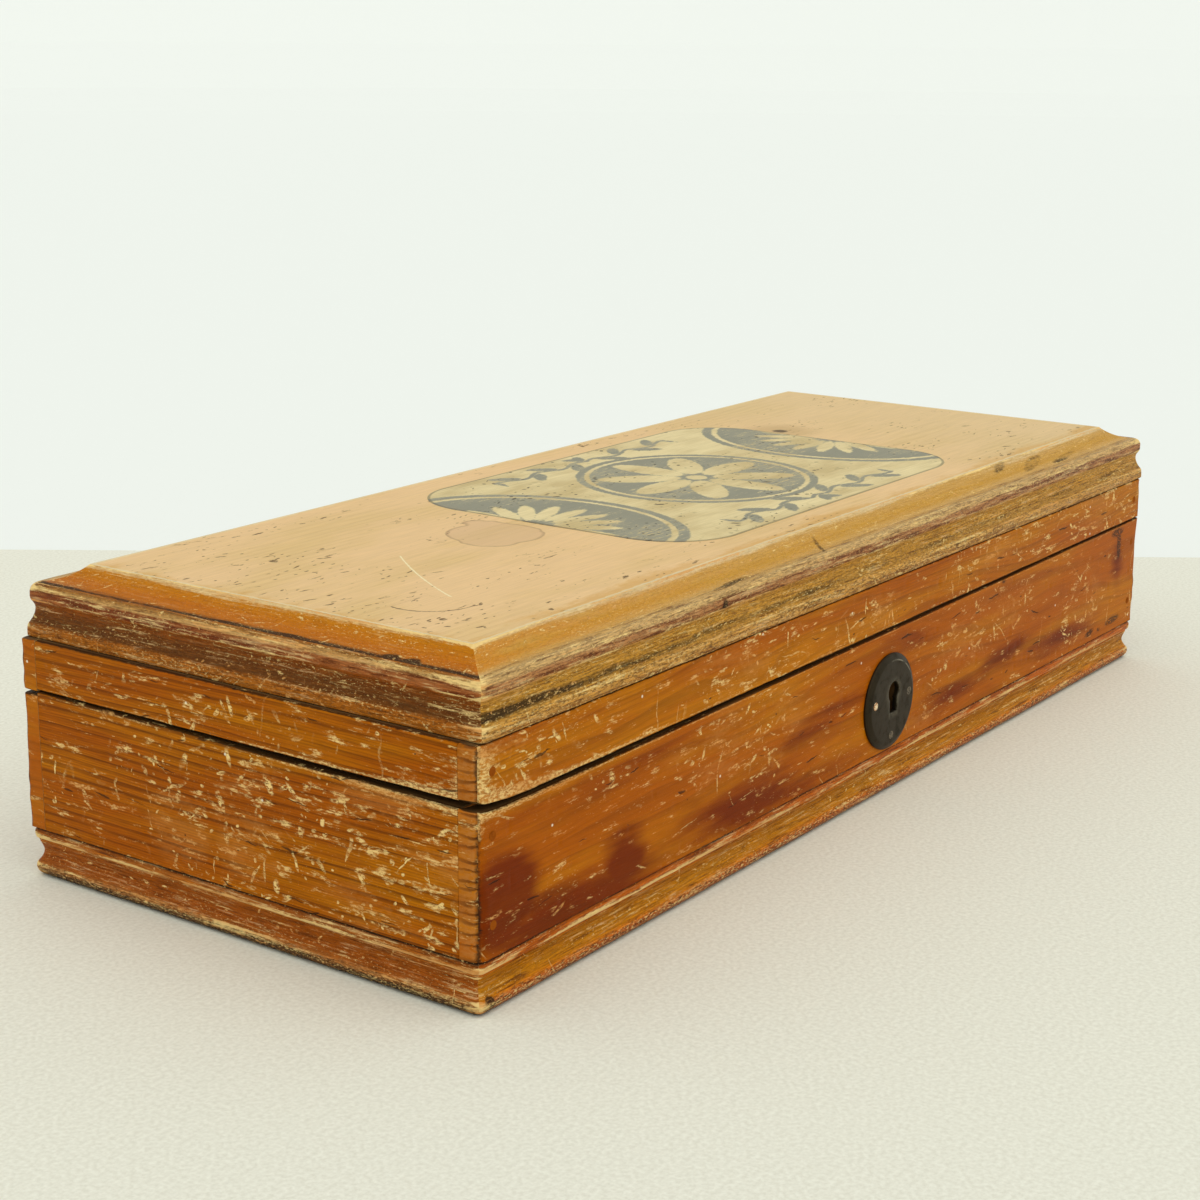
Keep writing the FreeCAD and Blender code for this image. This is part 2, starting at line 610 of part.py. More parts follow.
def strike_hook():
    """The hook under the lid, with a tenon through the strike plate."""
    low = f"{LID_BOTTOM} - hook_drop"
    high = f"{LID_BOTTOM} + plate_thick"
    body = padded("strike_hook", "XZ_Plane", polygon(
        (f"{HOOK_X} - toe_length", low), (f"{HOOK_X} + hook_width", low), (f"{HOOK_X} + hook_width", high),
        (HOOK_X, high), (HOOK_X, f"{low} + toe_height"), (f"{HOOK_X} - toe_length", f"{low} + toe_height"),
    ), f"{LOCK_ROOM} * hook_share")
    place(body, "0", LOCK_MIDDLE, "0")
    return body


def escutcheon_blank():
    """The round plate about the keyhole, turned with a bevelled rim."""
    body, sketch = sketched("escutcheon_blank", "XY_Plane", polygon(
        ("0", "0"), ("escutcheon_radius", "0"), ("escutcheon_radius", "escutcheon_bevel - escutcheon_thick"),
        ("escutcheon_radius - escutcheon_bevel", "-escutcheon_thick"), ("0", "-escutcheon_thick"),
    ))
    turned = body.newObject("PartDesign::Revolution", "escutcheon_turned")
    turned.Profile = sketch
    turned.ReferenceAxis = (sketch, ["V_Axis"])
    turned.Angle = 360
    place(body, PLATE_X, FRONT, PLATE_Z)
    return body


def escutcheon_pins():
    """Three pins: one at each side of the keyhole and one below it."""
    spread = "escutcheon_radius * plate_pin_share"
    lifted = f"{PLATE_Z} + escutcheon_radius * side_pin_lift_share"
    face = f"{FRONT} - escutcheon_thick"
    points = [
        (f"{PLATE_X} - {spread}", face, lifted),
        (f"{PLATE_X} + {spread}", face, lifted),
        (PLATE_X, face, f"{PLATE_Z} - {spread}"),
    ]
    sizes = ("plate_pin_radius", "plate_pin_head_radius", "plate_pin_head")
    return [
        fastener(f"escutcheon_pin_{number}", point, "front", sizes, "escutcheon_thick + plate_pin_bite")
        for number, point in enumerate(points)
    ]


# Case, base and lid boards before their holes
case_heights = [f"base_thick + wall_height * {share}" for share in ("low_brad_share", "high_brad_share")]
case_brads, case_brad_group = corner_brads("case_brads", case_heights)
lid_brads, lid_brad_group = corner_brads("lid_brads", [f"{LID_BOTTOM} + rail_height / 2"])
nails, nail_group = base_nails("base_nails")
hinges = {side: hinge(side) for side in SIDES}
front_blank, front_rebates = long_board("front_board", FRONT, "base_thick", CASE_TOP)
back_blank, back_rebates = long_board("back_board", BACK, "base_thick", CASE_TOP)
front_rail_blank, front_rail_rebates = long_board("lid_front_rail", FRONT, LID_BOTTOM, TOP_BOTTOM)
back_rail_blank, back_rail_rebates = long_board("lid_back_rail", BACK, LID_BOTTOM, TOP_BOTTOM)

# Lock, strike and escutcheon
keyhole = keyhole_tool()
plate_pins = escutcheon_pins()
screw_x = [f"lock_shift {sign} (cap_width + wing_width) / 2" for sign in "-+"]
screw_z = [
    f"{LOCK_BOTTOM} + (wall_height - lock_margin) * {share}"
    for share in ("low_screw_share", "high_screw_share")
]
lock_screws = [
    screw(f"lock_screw_{column}{row}", (x, INNER, z), "rear")
    for column, x in enumerate(screw_x)
    for row, z in enumerate(screw_z)
]
strike_screws = [
    screw(f"strike_screw_{number}", (f"lock_shift {sign} (strike_length / 2 - strike_screw_inset)",
                                     f"{INNER} - flange_width / 2", LID_BOTTOM), "down")
    for number, sign in enumerate("-+")
]
hook = strike_hook()
strike_span = (f"{INNER} - flange_width", INNER)
strike_blank = box("strike_plate_blank", across_lock("strike_length"), strike_span,
                   (LID_BOTTOM, f"{LID_BOTTOM} + plate_thick"))
key_post = rod("lock_key_post", "key_post_radius", "key_post_length", ("lock_shift", LOCK_BACK, KEY_Z),
               FACES["front"][0])

# Every piece under the name of its file
PIECES = {
    "front_board": cut("front_board", front_blank, *front_rebates, *lock_mortise(), keyhole, *plate_pins,
                       *[blank for blank, _ in lock_screws], *case_brads["front"], *nails["front"]),
    "back_board": cut("back_board", back_blank, *back_rebates, *case_brads["back"], *nails["back"],
                      *[made["case"]["gain"] for made in hinges.values()],
                      *[blank for made in hinges.values() for blank in made["case"]["blanks"]]),
    "base_board": cut("base_board", moulded("base_blank", base_side, "0"), nail_group),
    "base_nails": nail_group,
    "case_corner_brads": case_brad_group,
    "lid_top_board": moulded("lid_top_board", top_side, "top_shift"),
    "lid_front_rail": cut("lid_front_rail", front_rail_blank, *front_rail_rebates, *lid_brads["front"],
                          strike_blank, *[blank for blank, _ in strike_screws]),
    "lid_back_rail": cut("lid_back_rail", back_rail_blank, *back_rail_rebates, *lid_brads["back"],
                         *[made["lid"]["gain"] for made in hinges.values()],
                         *[blank for made in hinges.values() for blank in made["lid"]["blanks"]]),
    "lid_corner_brads": lid_brad_group,
    "escutcheon": cut("escutcheon", escutcheon_blank(), keyhole, *plate_pins),
    "escutcheon_pins": gather("Part::Compound", "escutcheon_pins", plate_pins),
    "lock_plate": cut("lock_plate", lock_plate_blank(), hook_slot(), *[blank for blank, _ in lock_screws]),
    "lock_cap": lock_cap(keyhole),
    "lock_key_post": key_post,
    "lock_stumps": lock_stumps(),
    "lock_screws": gather("Part::Compound", "lock_screws", [finished for _, finished in lock_screws]),
    "lock_bolt": lock_bolt(),
    "bolt_spring": bolt_spring(),
    "strike_plate": cut("strike_plate", strike_blank, hook, *[blank for blank, _ in strike_screws]),
    "strike_hook": hook,
    "strike_screws": gather("Part::Compound", "strike_screws", [finished for _, finished in strike_screws]),
}
for side in SIDES:
    wall = end_board(f"{side}_end_blank", side, "base_thick", CASE_TOP)
    rail = end_board(f"lid_{side}_blank", side, LID_BOTTOM, TOP_BOTTOM)
    PIECES[f"{side}_end_board"] = cut(f"{side}_end_board", wall, *case_brads[side], *nails[side])
    PIECES[f"lid_{side}_rail"] = cut(f"lid_{side}_rail", rail, *lid_brads[side])
    PIECES[f"{side}_hinge_case_leaf"] = hinges[side]["case"]["leaf"]
    PIECES[f"{side}_hinge_lid_leaf"] = hinges[side]["lid"]["leaf"]
    PIECES[f"{side}_hinge_pin"] = hinges[side]["pin"]
for name in ("case", "lid"):
    group = [finished for made in hinges.values() for finished in made[name]["screws"]]
    PIECES[f"hinge_{name}_screws"] = gather("Part::Compound", f"hinge_{name}_screws", group)

doc.recompute()
faults = [item.Name for item in doc.Objects if {"Invalid", "Error"} & set(item.State)]
for name, item in PIECES.items():
    item.Label = name
    if item.Shape.isNull() or not item.Shape.isValid() or not item.Shape.Solids:
        faults.append(name)
if faults:
    raise RuntimeError(f"these did not build: {', '.join(faults)}")

os.makedirs("parts", exist_ok=True)
for name, item in PIECES.items():
    item.Shape.exportStep(f"parts/{name}.step")
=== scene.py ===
import functools
import itertools
import json
import math

import bpy
import numpy as np
from mathutils import Matrix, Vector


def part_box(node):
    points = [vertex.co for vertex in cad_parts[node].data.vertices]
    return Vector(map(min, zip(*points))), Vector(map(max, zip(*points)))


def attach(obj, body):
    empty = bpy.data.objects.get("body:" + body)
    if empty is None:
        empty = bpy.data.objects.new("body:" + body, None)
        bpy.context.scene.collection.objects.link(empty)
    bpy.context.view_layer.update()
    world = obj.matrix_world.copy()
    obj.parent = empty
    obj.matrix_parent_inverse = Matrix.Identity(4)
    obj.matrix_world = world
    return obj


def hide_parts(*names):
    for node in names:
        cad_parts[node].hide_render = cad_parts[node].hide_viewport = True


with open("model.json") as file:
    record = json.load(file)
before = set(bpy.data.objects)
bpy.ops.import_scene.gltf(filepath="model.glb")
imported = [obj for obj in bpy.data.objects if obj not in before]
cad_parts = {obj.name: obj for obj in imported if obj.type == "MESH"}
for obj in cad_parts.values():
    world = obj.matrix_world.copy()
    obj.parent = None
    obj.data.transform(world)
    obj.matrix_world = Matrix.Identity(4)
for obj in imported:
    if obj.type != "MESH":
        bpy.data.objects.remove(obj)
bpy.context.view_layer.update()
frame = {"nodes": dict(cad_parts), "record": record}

bl_info = {
    "name": "Old lapped pine box",
    "version": (1, 0, 0),
    "blender": (4, 5, 0),
    "location": "View3D > Sidebar > Pine box",
    "description": "Worn boards, mouldings, metalwork and stage of a small shellacked pine box",
    "category": "Object",
}

# Lengths in this file are millimetres until a mesh is made
MM = 0.001
# Side of the random table behind the wear
TABLE = 24
# Distances of the finer cutting planes from a board's edges
EDGE_LINES = np.array([0.12, 0.28, 0.5, 0.8, 1.2, 1.8])
# How far the end grain shows behind an outer face before it fades
END_GRAIN = 6.5
# The most worn corner of the walls, in x and y
NEAR_CORNER = (-145.0, -58.5)
# Square millimetres of a board's face to each dent
DENT_AREA = 42
# Faces that meet at more than this angle keep their edge sharp
SHARP = math.radians(42)
# Depth of the beds of the hinge leaves
LEAF_BED = 1.2
# Half width of the key's way through the front board, and its reach below the key's middle
KEYWAY = (2.7, 6.6)
# Width of the moulding about the lid's flat field
FIELD_INSET = 9.5
# How thick the panel is, and how far its face lies under the top of the lid
PANEL_DEPTHS = (0.4, 0.03)
# Reach of a mark far from every place that it stands for
FAR = 20.0
# What a mark of the field says on the moulding, where that isn't 0
FIELD_BLANKS = {"damp": -FAR, "knot": FAR, "light_scratch": FAR, "dark_scratch": FAR}


def tint(red, green, blue):
    """A display colour, 0 to 255, as the linear colour that a shader takes."""
    shown = np.array([red, green, blue]) / 255
    linear = np.where(shown < 0.04045, shown / 12.92, ((shown + 0.055) / 1.055) ** 2.4)
    return (*linear.tolist(), 1.0)


def colour(label, meaning, *shown):
    """A colour that a user may change."""
    return bpy.props.FloatVectorProperty(
        name=label, description=meaning, default=tint(*shown), size=4, min=0, max=1, subtype="COLOR")


def measure(label, meaning, default, low=0.0, high=500.0):
    """A length in millimetres, a share or a strength that a user may change."""
    return bpy.props.FloatProperty(name=label, description=meaning, default=default, min=low, max=high)


def angle(label, meaning, default):
    """An angle that a user may change."""
    return bpy.props.FloatProperty(name=label, description=meaning, default=default, subtype="ANGLE")


class PineBoxWear(bpy.types.PropertyGroup):
    """How far the arrises are rubbed down and the faces dented."""

    arris: measure("Arris", "Rounding of the outer arrises, mm", 0.55)
    corner: measure("Corner", "Rounding of the upright corners, mm", 1.25)
    inside: measure("Inside", "Rounding of the inner arrises and joints, mm", 0.22)
    rub: measure("Rub", "Share of a moulding's arrises that is rubbed away", 0.45, high=1.0)
    dent: measure("Dent", "Depth of the deepest dents, mm", 0.22)
    lean: measure("Lean", "Share of the meeting edges' lean that is kept", 1.0, high=1.0)


class PineBoxColours(bpy.types.PropertyGroup):
    """Colours of the woods, the panel and the metals."""

    amber: colour("Amber", "Shellac where it is thin", 202, 122, 2)
    russet: colour("Russet", "Shellac where it is thick", 184, 94, 0)
    latewood: colour("Latewood", "Dark growth lines under the shellac", 92, 42, 2)
    stain: colour("Stain", "Red-brown patches", 120, 40, 0)
    bare: colour("Bare", "Freshly scratched wood", 252, 218, 146)
    rubbed: colour("Rubbed", "Warm tone of rubbed wood", 226, 162, 92)
    endgrain: colour("End grain", "Ends of the front and back boards", 186, 120, 58)
    dust: colour("Dust", "Pale streaks of the fillets", 226, 184, 132)
    grime: colour("Grime", "Dirt in grooves", 40, 28, 16)
    field: colour("Field", "Worn top of the lid", 235, 196, 145)
    scrubbed: colour("Scrubbed", "Yellower parts of the lid's top", 226, 190, 132)
    inner: colour("Inner", "Bare wood inside", 200, 158, 100)
    cream: colour("Cream", "Ground of the panel", 236, 216, 166)
    slate: colour("Slate", "Ornament of the panel", 122, 122, 110)
    iron: colour("Iron", "Escutcheon", 52, 43, 28)
    brass: colour("Brass", "Hinges", 150, 110, 52)
    steel: colour("Steel", "Works of the lock", 120, 116, 108)


class PineBoxPanel(bpy.types.PropertyGroup):
    """The painted panel on the lid."""

    centre_x: measure("Along", "Middle of the panel along the lid, mm", 12.6, low=-500.0)
    centre_y: measure("Across", "Middle of the panel across the lid, mm", 0.2, low=-500.0)
    half_length: measure("Half length", "Half the panel's length, mm", 63.0)
    half_width: measure("Half width", "Half the panel's width, mm", 40.2)
    corner: measure("Corner", "Radius of the panel's corners, mm", 17.0)


class PineBoxStage(bpy.types.PropertyGroup):
    """Camera, floor and light."""

    eye: bpy.props.FloatVectorProperty(
        name="Eye", description="Camera position", default=(-0.4242, -0.2826, 0.1698),
        subtype="TRANSLATION", unit="LENGTH")
    turn: angle("Turn", "Camera azimuth", -0.95206)
    pitch: angle("Pitch", "Camera height angle", 0.25497)
    roll: angle("Roll", "Camera roll", 0.006666)
    lens: bpy.props.FloatProperty(
        name="Lens", description="Focal length on a 36 mm sensor", default=66.397, min=1, unit="CAMERA")
    sky: measure("Sky", "Strength of the light from all around", 0.82, high=5.0)
    sun: measure("Sun", "Strength of the soft light from above", 0.9, high=20.0)
    sunward: bpy.props.FloatVectorProperty(
        name="Sunward", description="Direction in which the soft light shines",
        default=(0.2, 0.4, -0.9), subtype="DIRECTION")
    floor: colour("Floor", "Pale cloth floor", 238, 236, 226)
    wall: colour("Wall", "Pale ground behind", 240, 242, 241)
    floor_end: measure("Floor end", "Back edge of the cloth behind the box, mm", 203.0)


def smooth(share):
    """Smoothstep of a share that is held between 0 and 1."""
    share = np.clip(share, 0, 1)
    return share * share * (3 - 2 * share)


def bell(value, middle, width, power=2):
    """A bell of height 1 about a middle: a power above 2 gives it a flatter top."""
    return np.exp(-((value - middle) / width) ** power)


def blob(points, middle, spread):
    """A bell of height 1 in space, about a point."""
    return np.exp(-np.sum((points - middle) ** 2, axis=1) / spread)


def noise(points, cell, seed):
    """Value noise: random numbers on a lattice of that cell, blended by smoothstep, from -1 to 1."""
    table = np.random.default_rng(seed).uniform(-1, 1, (TABLE, TABLE, TABLE))
    scaled = np.asarray(points) / cell
    base = np.floor(scaled).astype(int)
    share = smooth(scaled - base)
    total = np.zeros(scaled.shape[:-1])
    for corner in itertools.product((0, 1), repeat=3):
        weight = np.prod(np.where(corner, share, 1 - share), axis=-1)
        spot = (base + corner) % TABLE
        total += weight * table[spot[..., 0], spot[..., 1], spot[..., 2]]
    return total


def pits(across, up, spans, count, radii, seed):
    """Depth, 0 to 1, of random elliptic dents, deepest in the middle: the deepest one counts."""
    random = np.random.default_rng(seed)
    middle = random.uniform([spans[0][0], spans[1][0]], [spans[0][1], spans[1][1]], (count, 2))
    reach = random.uniform(*radii, (count, 2)) * random.choice([0.6, 1.0, 1.7], (count, 2))
    depth = random.uniform(0.25, 1, count)
    total = np.zeros(len(across))
    for part in range(0, count, 20):
        chosen = slice(part, part + 20)
        far = ((across[:, None] - middle[chosen, 0]) / reach[chosen, 0]) ** 2
        far += ((up[:, None] - middle[chosen, 1]) / reach[chosen, 1]) ** 2
        total = np.maximum(total, (np.clip(1 - far, 0, 1) ** 2 * depth[chosen]).max(axis=1))
    return total


def spots(across, up, places):
    """Reach in mm into a union of ellipses, negative outside: each is middle, half sizes and tilt."""
    total = np.full(len(across), -FAR)
    for x, z, half_x, half_z, tilt in places:
        right = (across - x) * math.cos(tilt) + (up - z) * math.sin(tilt)
        rise = (up - z) * math.cos(tilt) - (across - x) * math.sin(tilt)
        far = np.hypot(right / half_x, rise / half_z)
        total = np.maximum(total, (1 - far) * min(half_x, half_z))
    return total


def cad_box(node):
    """Lowest and highest corner of a CAD node, in mm."""
    return [np.round(np.array(corner) / MM, 3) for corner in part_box(node)]


def make_piece(name, points, polygons, marks, finishes, picks, body, replaced):
    """A mesh from points in mm and groups of polygons: doubled points merged, marks at face corners."""
    places, index = np.unique(np.round(points, 5), axis=0, return_inverse=True)
    index = index.ravel()
    corners = np.concatenate([np.asarray(group).ravel() for group in polygons])
    counts = np.concatenate([np.full(len(group), len(group[0])) for group in polygons])
    mesh = bpy.data.meshes.new(name)
    mesh.vertices.add(len(places))
    mesh.vertices.foreach_set("co", (places * MM).ravel())
    mesh.loops.add(len(corners))
    mesh.loops.foreach_set("vertex_index", index[corners])
    mesh.polygons.add(len(counts))
    mesh.polygons.foreach_set("loop_start", np.concatenate([[0], np.cumsum(counts)[:-1]]))
    mesh.update(calc_edges=True)
    if mesh.validate():
        raise RuntimeError(f"{name} has faces that Blender can't use")
    for finish in finishes:
        mesh.materials.append(finish)
    mesh.polygons.foreach_set("material_index", np.asarray(picks, dtype=np.int32))
    mesh.polygons.foreach_set("use_smooth", np.ones(len(counts), dtype=bool))
    for mark, values in marks.items():
        values = np.asarray(values, dtype=np.float32)
        kind, field = ("FLOAT_VECTOR", "vector") if values.ndim == 2 else ("FLOAT", "value")
        layer = mesh.attributes.new(mark, kind, "CORNER")
        spread = values[corners] if len(values) == len(points) else values
        layer.data.foreach_set(field, spread.ravel())
    mesh.set_sharp_from_angle(angle=SHARP)
    piece = bpy.data.objects.new(name, mesh)
    bpy.context.scene.collection.objects.link(piece)
    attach(piece, body)
    if replaced:
        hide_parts(*replaced)
    return piece


def grid_quads(index):
    """Faces between the points of a grid of point numbers."""
    corners = [index[:-1, :-1], index[1:, :-1], index[1:, 1:], index[:-1, 1:]]
    return np.stack(corners, axis=-1).reshape(-1, 4)


def cut_lines(low, high, step, marks):
    """Cutting planes from low to high: even ones, finer ones near both ends and one at each mark."""
    near = EDGE_LINES[EDGE_LINES < (high - low) / 3]
    fixed = np.unique(np.round(np.concatenate([[low, high], low + near, high - near, marks]), 4))
    fixed = fixed[(fixed >= low) & (fixed <= high)]
    even = np.linspace(low, high, max(2, round((high - low) / step)) + 1)
    clear = np.abs(even[:, None] - fixed).min(axis=1) > 0.3 * step
    clear &= (even > low + near[-1]) & (even < high - near[-1])
    return np.sort(np.concatenate([fixed, even[clear]]))


def wood_surface(lines, cuts):
    """Faces between wood and air: every cell of a lattice of planes is wood or, inside a cut, air."""
    middles = [(line[1:] + line[:-1]) / 2 for line in lines]
    wood = np.ones([len(middle) for middle in middles], dtype=bool)
    for low, high in cuts:
        inside = [(m > a) & (m < b) for m, a, b in zip(middles, low, high)]
        wood &= ~(inside[0][:, None, None] & inside[1][None, :, None] & inside[2][None, None, :])
    shape = [len(line) for line in lines]
    padded = np.pad(wood, 1)
    quads, axes, sides = [], [], []
    for axis in range(3):
        step_one, step_two = np.roll(np.eye(3, dtype=int), -axis, axis=0)[1:]
        trimmed = [slice(1, -1)] * 3
        trimmed[axis] = slice(None)
        change = np.diff(padded[tuple(trimmed)].astype(np.int8), axis=axis)
        spot = np.argwhere(change)
        out = change[tuple(spot.T)] < 0
        ring = [spot, spot + step_one, spot + step_one + step_two, spot + step_two]
        quad = np.stack([np.ravel_multi_index(tuple(corner.T), shape) for corner in ring], axis=1)
        quads.append(np.where(out[:, None], quad, quad[:, ::-1]))
        axes.append(np.full(len(quad), axis))
        sides.append(np.where(out, 1, -1))
    quads = np.concatenate(quads)
    used, index = np.unique(quads, return_inverse=True)
    grid = np.stack(np.unravel_index(used, shape), axis=1)
    points = np.stack([line[grid[:, axis]] for axis, line in enumerate(lines)], axis=1)
    return points, index.reshape(quads.shape), np.concatenate(axes), np.concatenate(sides)


def rub_box(points, low, high, low_round, high_round):
    """Rounds a box's arrises: a point near one is held in a smaller box and set on an ellipsoid."""
    inner_low = low + low_round
    inner_high = high - high_round
    held = np.clip(points, inner_low, inner_high)
    radius = np.where(points < held, low_round, high_round)
    away = (points - held) / radius
    reach = np.linalg.norm(away, axis=1, keepdims=True)
    return held + radius * away / np.maximum(reach, 1e-9) * np.minimum(reach, 1)


class Board:
    """A straight board of the case or lid: s runs along it, a inwards from its outer face, z up."""

    def __init__(self, node):
        self.node = node
        self.low, self.high = cad_box(node)
        size = self.high - self.low
        self.run, self.across = (0, 1) if size[0] > size[1] else (1, 0)
        self.out = -1 if abs(self.low[self.across]) > abs(self.high[self.across]) else 1
        self.thick = size[self.across]
        self.mirrored = (self.out == 1) == (self.run == 0)

    def inward(self, value):
        """Depth behind the outer face of a place across the board."""
        return value - self.low[self.across] if self.out < 0 else self.high[self.across] - value

    def cut(self, low, high):
        """A box in the frame as a box in the board's own s, a and z."""
        depth = sorted([self.inward(low[self.across]), self.inward(high[self.across])])
        return (low[self.run], depth[0], low[2]), (high[self.run], depth[1], high[2])

    def place(self, points):
        """Points of the board's own s, a and z in the frame."""
        out = np.empty_like(points)
        out[:, self.run] = points[:, 0]
        face = self.low[self.across] if self.out < 0 else self.high[self.across]
        out[:, self.across] = face - self.out * points[:, 1]
        out[:, 2] = points[:, 2]
        return out


class Finish:
    """One material's nodes, with short calls that add a node and give its result."""

    def __init__(self, name, **constants):
        self.material = bpy.data.materials.new(name)
        self.material.use_nodes = True
        self.tree = self.material.node_tree
        self.tree.nodes.clear()
        output = self.node("ShaderNodeOutputMaterial", {})
        self.skin = self.node("ShaderNodeBsdfPrincipled", constants)
        self.tree.links.new(self.skin.outputs[0], output.inputs[0])

    def put(self, socket, value):
        """Links a result to a socket, or sets a plain number or colour on it."""
        if isinstance(value, bpy.types.NodeSocket):
            self.tree.links.new(value, socket)
        else:
            socket.default_value = value

    def node(self, kind, inputs, **settings):
        """Adds a node with its settings and inputs."""
        node = self.tree.nodes.new(kind)
        for key, value in settings.items():
            setattr(node, key, value)
        for key, value in inputs.items():
            self.put(node.inputs[key.replace("_", " ") if isinstance(key, str) else key], value)
        return node

    def math(self, operation, *values):
        """A number from one, two or three numbers."""
        return self.node("ShaderNodeMath", dict(enumerate(values)), operation=operation).outputs[0]

    def vector(self, operation, *values):
        """A vector from one or two vectors."""
        inputs = dict(enumerate(values))
        return self.node("ShaderNodeVectorMath", inputs, operation=operation).outputs[0]

    def step(self, value, start, end):
        """Smoothstep of a value, from 0 at start to 1 at end."""
        inputs = {0: value, 1: start, 2: end}
        return self.node("ShaderNodeMapRange", inputs, interpolation_type="SMOOTHSTEP").outputs[0]

    def mix(self, share, first, second, blend="MIX"):
        """One colour over another."""
        node = self.node("ShaderNodeMix", {}, data_type="RGBA", blend_type=blend)
        for socket, value in ((0, share), (6, first), (7, second)):
            self.put(node.inputs[socket], value)
        return node.outputs[2]

    def over(self, base, shade, *shares):
        """A shade laid over a colour by the product of several shares."""
        return self.mix(self.times(*shares), base, shade)

    def darkened(self, base, share, value, dark, light, end=0.7):
        """A colour multiplied by a dark tone where a noise is low, up to a light one at the end."""
        tone = self.ramp(value, [(0.3, tint(*dark)), (end, tint(*light))])
        return self.mix(share, base, tone, "MULTIPLY")

    def ramp(self, value, stops):
        """A colour picked from stops of place and colour."""
        node = self.node("ShaderNodeValToRGB", {0: value})
        elements = node.color_ramp.elements
        while len(elements) < len(stops):
            elements.new(0.5)
        for element, (place, shade) in zip(elements, stops):
            element.position = place
            element.color = shade
        return node.outputs[0]

    def mark(self, name):
        """A number that the mesh carries."""
        return self.node("ShaderNodeAttribute", {}, attribute_name=name).outputs["Fac"]

    def lay(self):
        """The mesh's own place in mm: along the grain, up and in."""
        return self.node("ShaderNodeAttribute", {}, attribute_name="lay").outputs["Vector"]

    def object_mm(self):
        """Object coordinates in mm."""
        place = self.node("ShaderNodeTexCoord", {}).outputs["Object"]
        return self.vector("MULTIPLY", place, (1000, 1000, 1000))

    def cloud(self, place, size, detail=3.0, rough=0.55):
        """Noise, 0 to 1, with its own size in mm along each direction."""
        scaled = self.vector("DIVIDE", place, size)
        inputs = {"Vector": scaled, "Scale": 1.0, "Detail": detail, "Roughness": rough}
        return self.node("ShaderNodeTexNoise", inputs).outputs[0]

    def parts(self, place):
        """The three numbers of a place."""
        return self.node("ShaderNodeSeparateXYZ", {0: place}).outputs

    def scratches(self, place, *kinds):
        """Short tapering marks of several kinds, each given as for scratch: the strongest counts."""
        return self.most(*[self.scratch(place, *kind) for kind in kinds])

    def scratch(self, place, shift, cell, reach, width, turn, spread, empty):
        """Marks of one kind: one thin ellipse, at its own angle, in each cell of a shifted Voronoi."""
        scaled = self.vector("DIVIDE", self.vector("ADD", place, (*shift, 0)), (cell, cell, cell))
        bend = self.node("ShaderNodeTexNoise", {"Vector": scaled, "Scale": 2.3, "Detail": 2.0})
        scaled = self.vector("ADD", scaled, self.vector("MULTIPLY", bend.outputs[1], (0.22, 0.22, 0)))
        cells = self.node("ShaderNodeTexVoronoi", {"Vector": scaled, "Scale": 1.0},
                          voronoi_dimensions="2D")
        offset = self.vector("SUBTRACT", scaled, cells.outputs["Position"])
        pick = self.node("ShaderNodeSeparateColor", {0: cells.outputs["Color"]})
        angle = self.math("MULTIPLY_ADD", pick.outputs[0], spread, turn - spread / 2)
        turned = self.node("ShaderNodeVectorRotate", {"Vector": offset, "Angle": angle},
                           rotation_type="Z_AXIS")
        share = self.math("SUBTRACT", pick.outputs[1], empty)
        half = self.math("MAXIMUM", self.math("MULTIPLY", share, reach / cell / (1 - empty)), 0.003)
        thin = self.math("MULTIPLY_ADD", pick.outputs[2], width / cell, 0.35 * width / cell)
        shape = self.node("ShaderNodeCombineXYZ", {0: half, 1: thin, 2: 1e5}).outputs[0]
        ratio = self.vector("DIVIDE", turned.outputs[0], shape)
        far = self.node("ShaderNodeVectorMath", {0: ratio, 1: ratio},
                        operation="DOT_PRODUCT").outputs["Value"]
        return self.step(far, 1.0, 0.35)

    def rings(self, level, pitch):
        """Growth lines: each rises slowly over the pitch and ends sharply."""
        cycle = self.math("FRACT", self.math("DIVIDE", level, pitch))
        return self.math("MULTIPLY", self.step(cycle, 0.42, 0.88), self.step(cycle, 1.0, 0.93))

    def most(self, *values):
        """The largest of several numbers."""
        return functools.reduce(lambda first, second: self.math("MAXIMUM", first, second), values)

    def times(self, *values):
        """The product of several numbers."""
        return functools.reduce(lambda first, second: self.math("MULTIPLY", first, second), values)

    def total(self, *pairs):
        """A sum of numbers, each with its weight."""
        result = 0.0
        for value, weight in pairs:
            result = self.math("MULTIPLY_ADD", value, weight, result)
        return result

    def finish(self, base, roughness, height, depth):
        """Puts colour, roughness and relief of a depth in mm on the surface, and gives the material."""
        self.put(self.skin.inputs["Base Color"], base)
        self.put(self.skin.inputs["Roughness"], roughness)
        bump = self.node("ShaderNodeBump", {"Height": height, "Strength": 1.0, "Distance": depth * MM})
        self.put(self.skin.inputs["Normal"], bump.outputs[0])
        return self.material


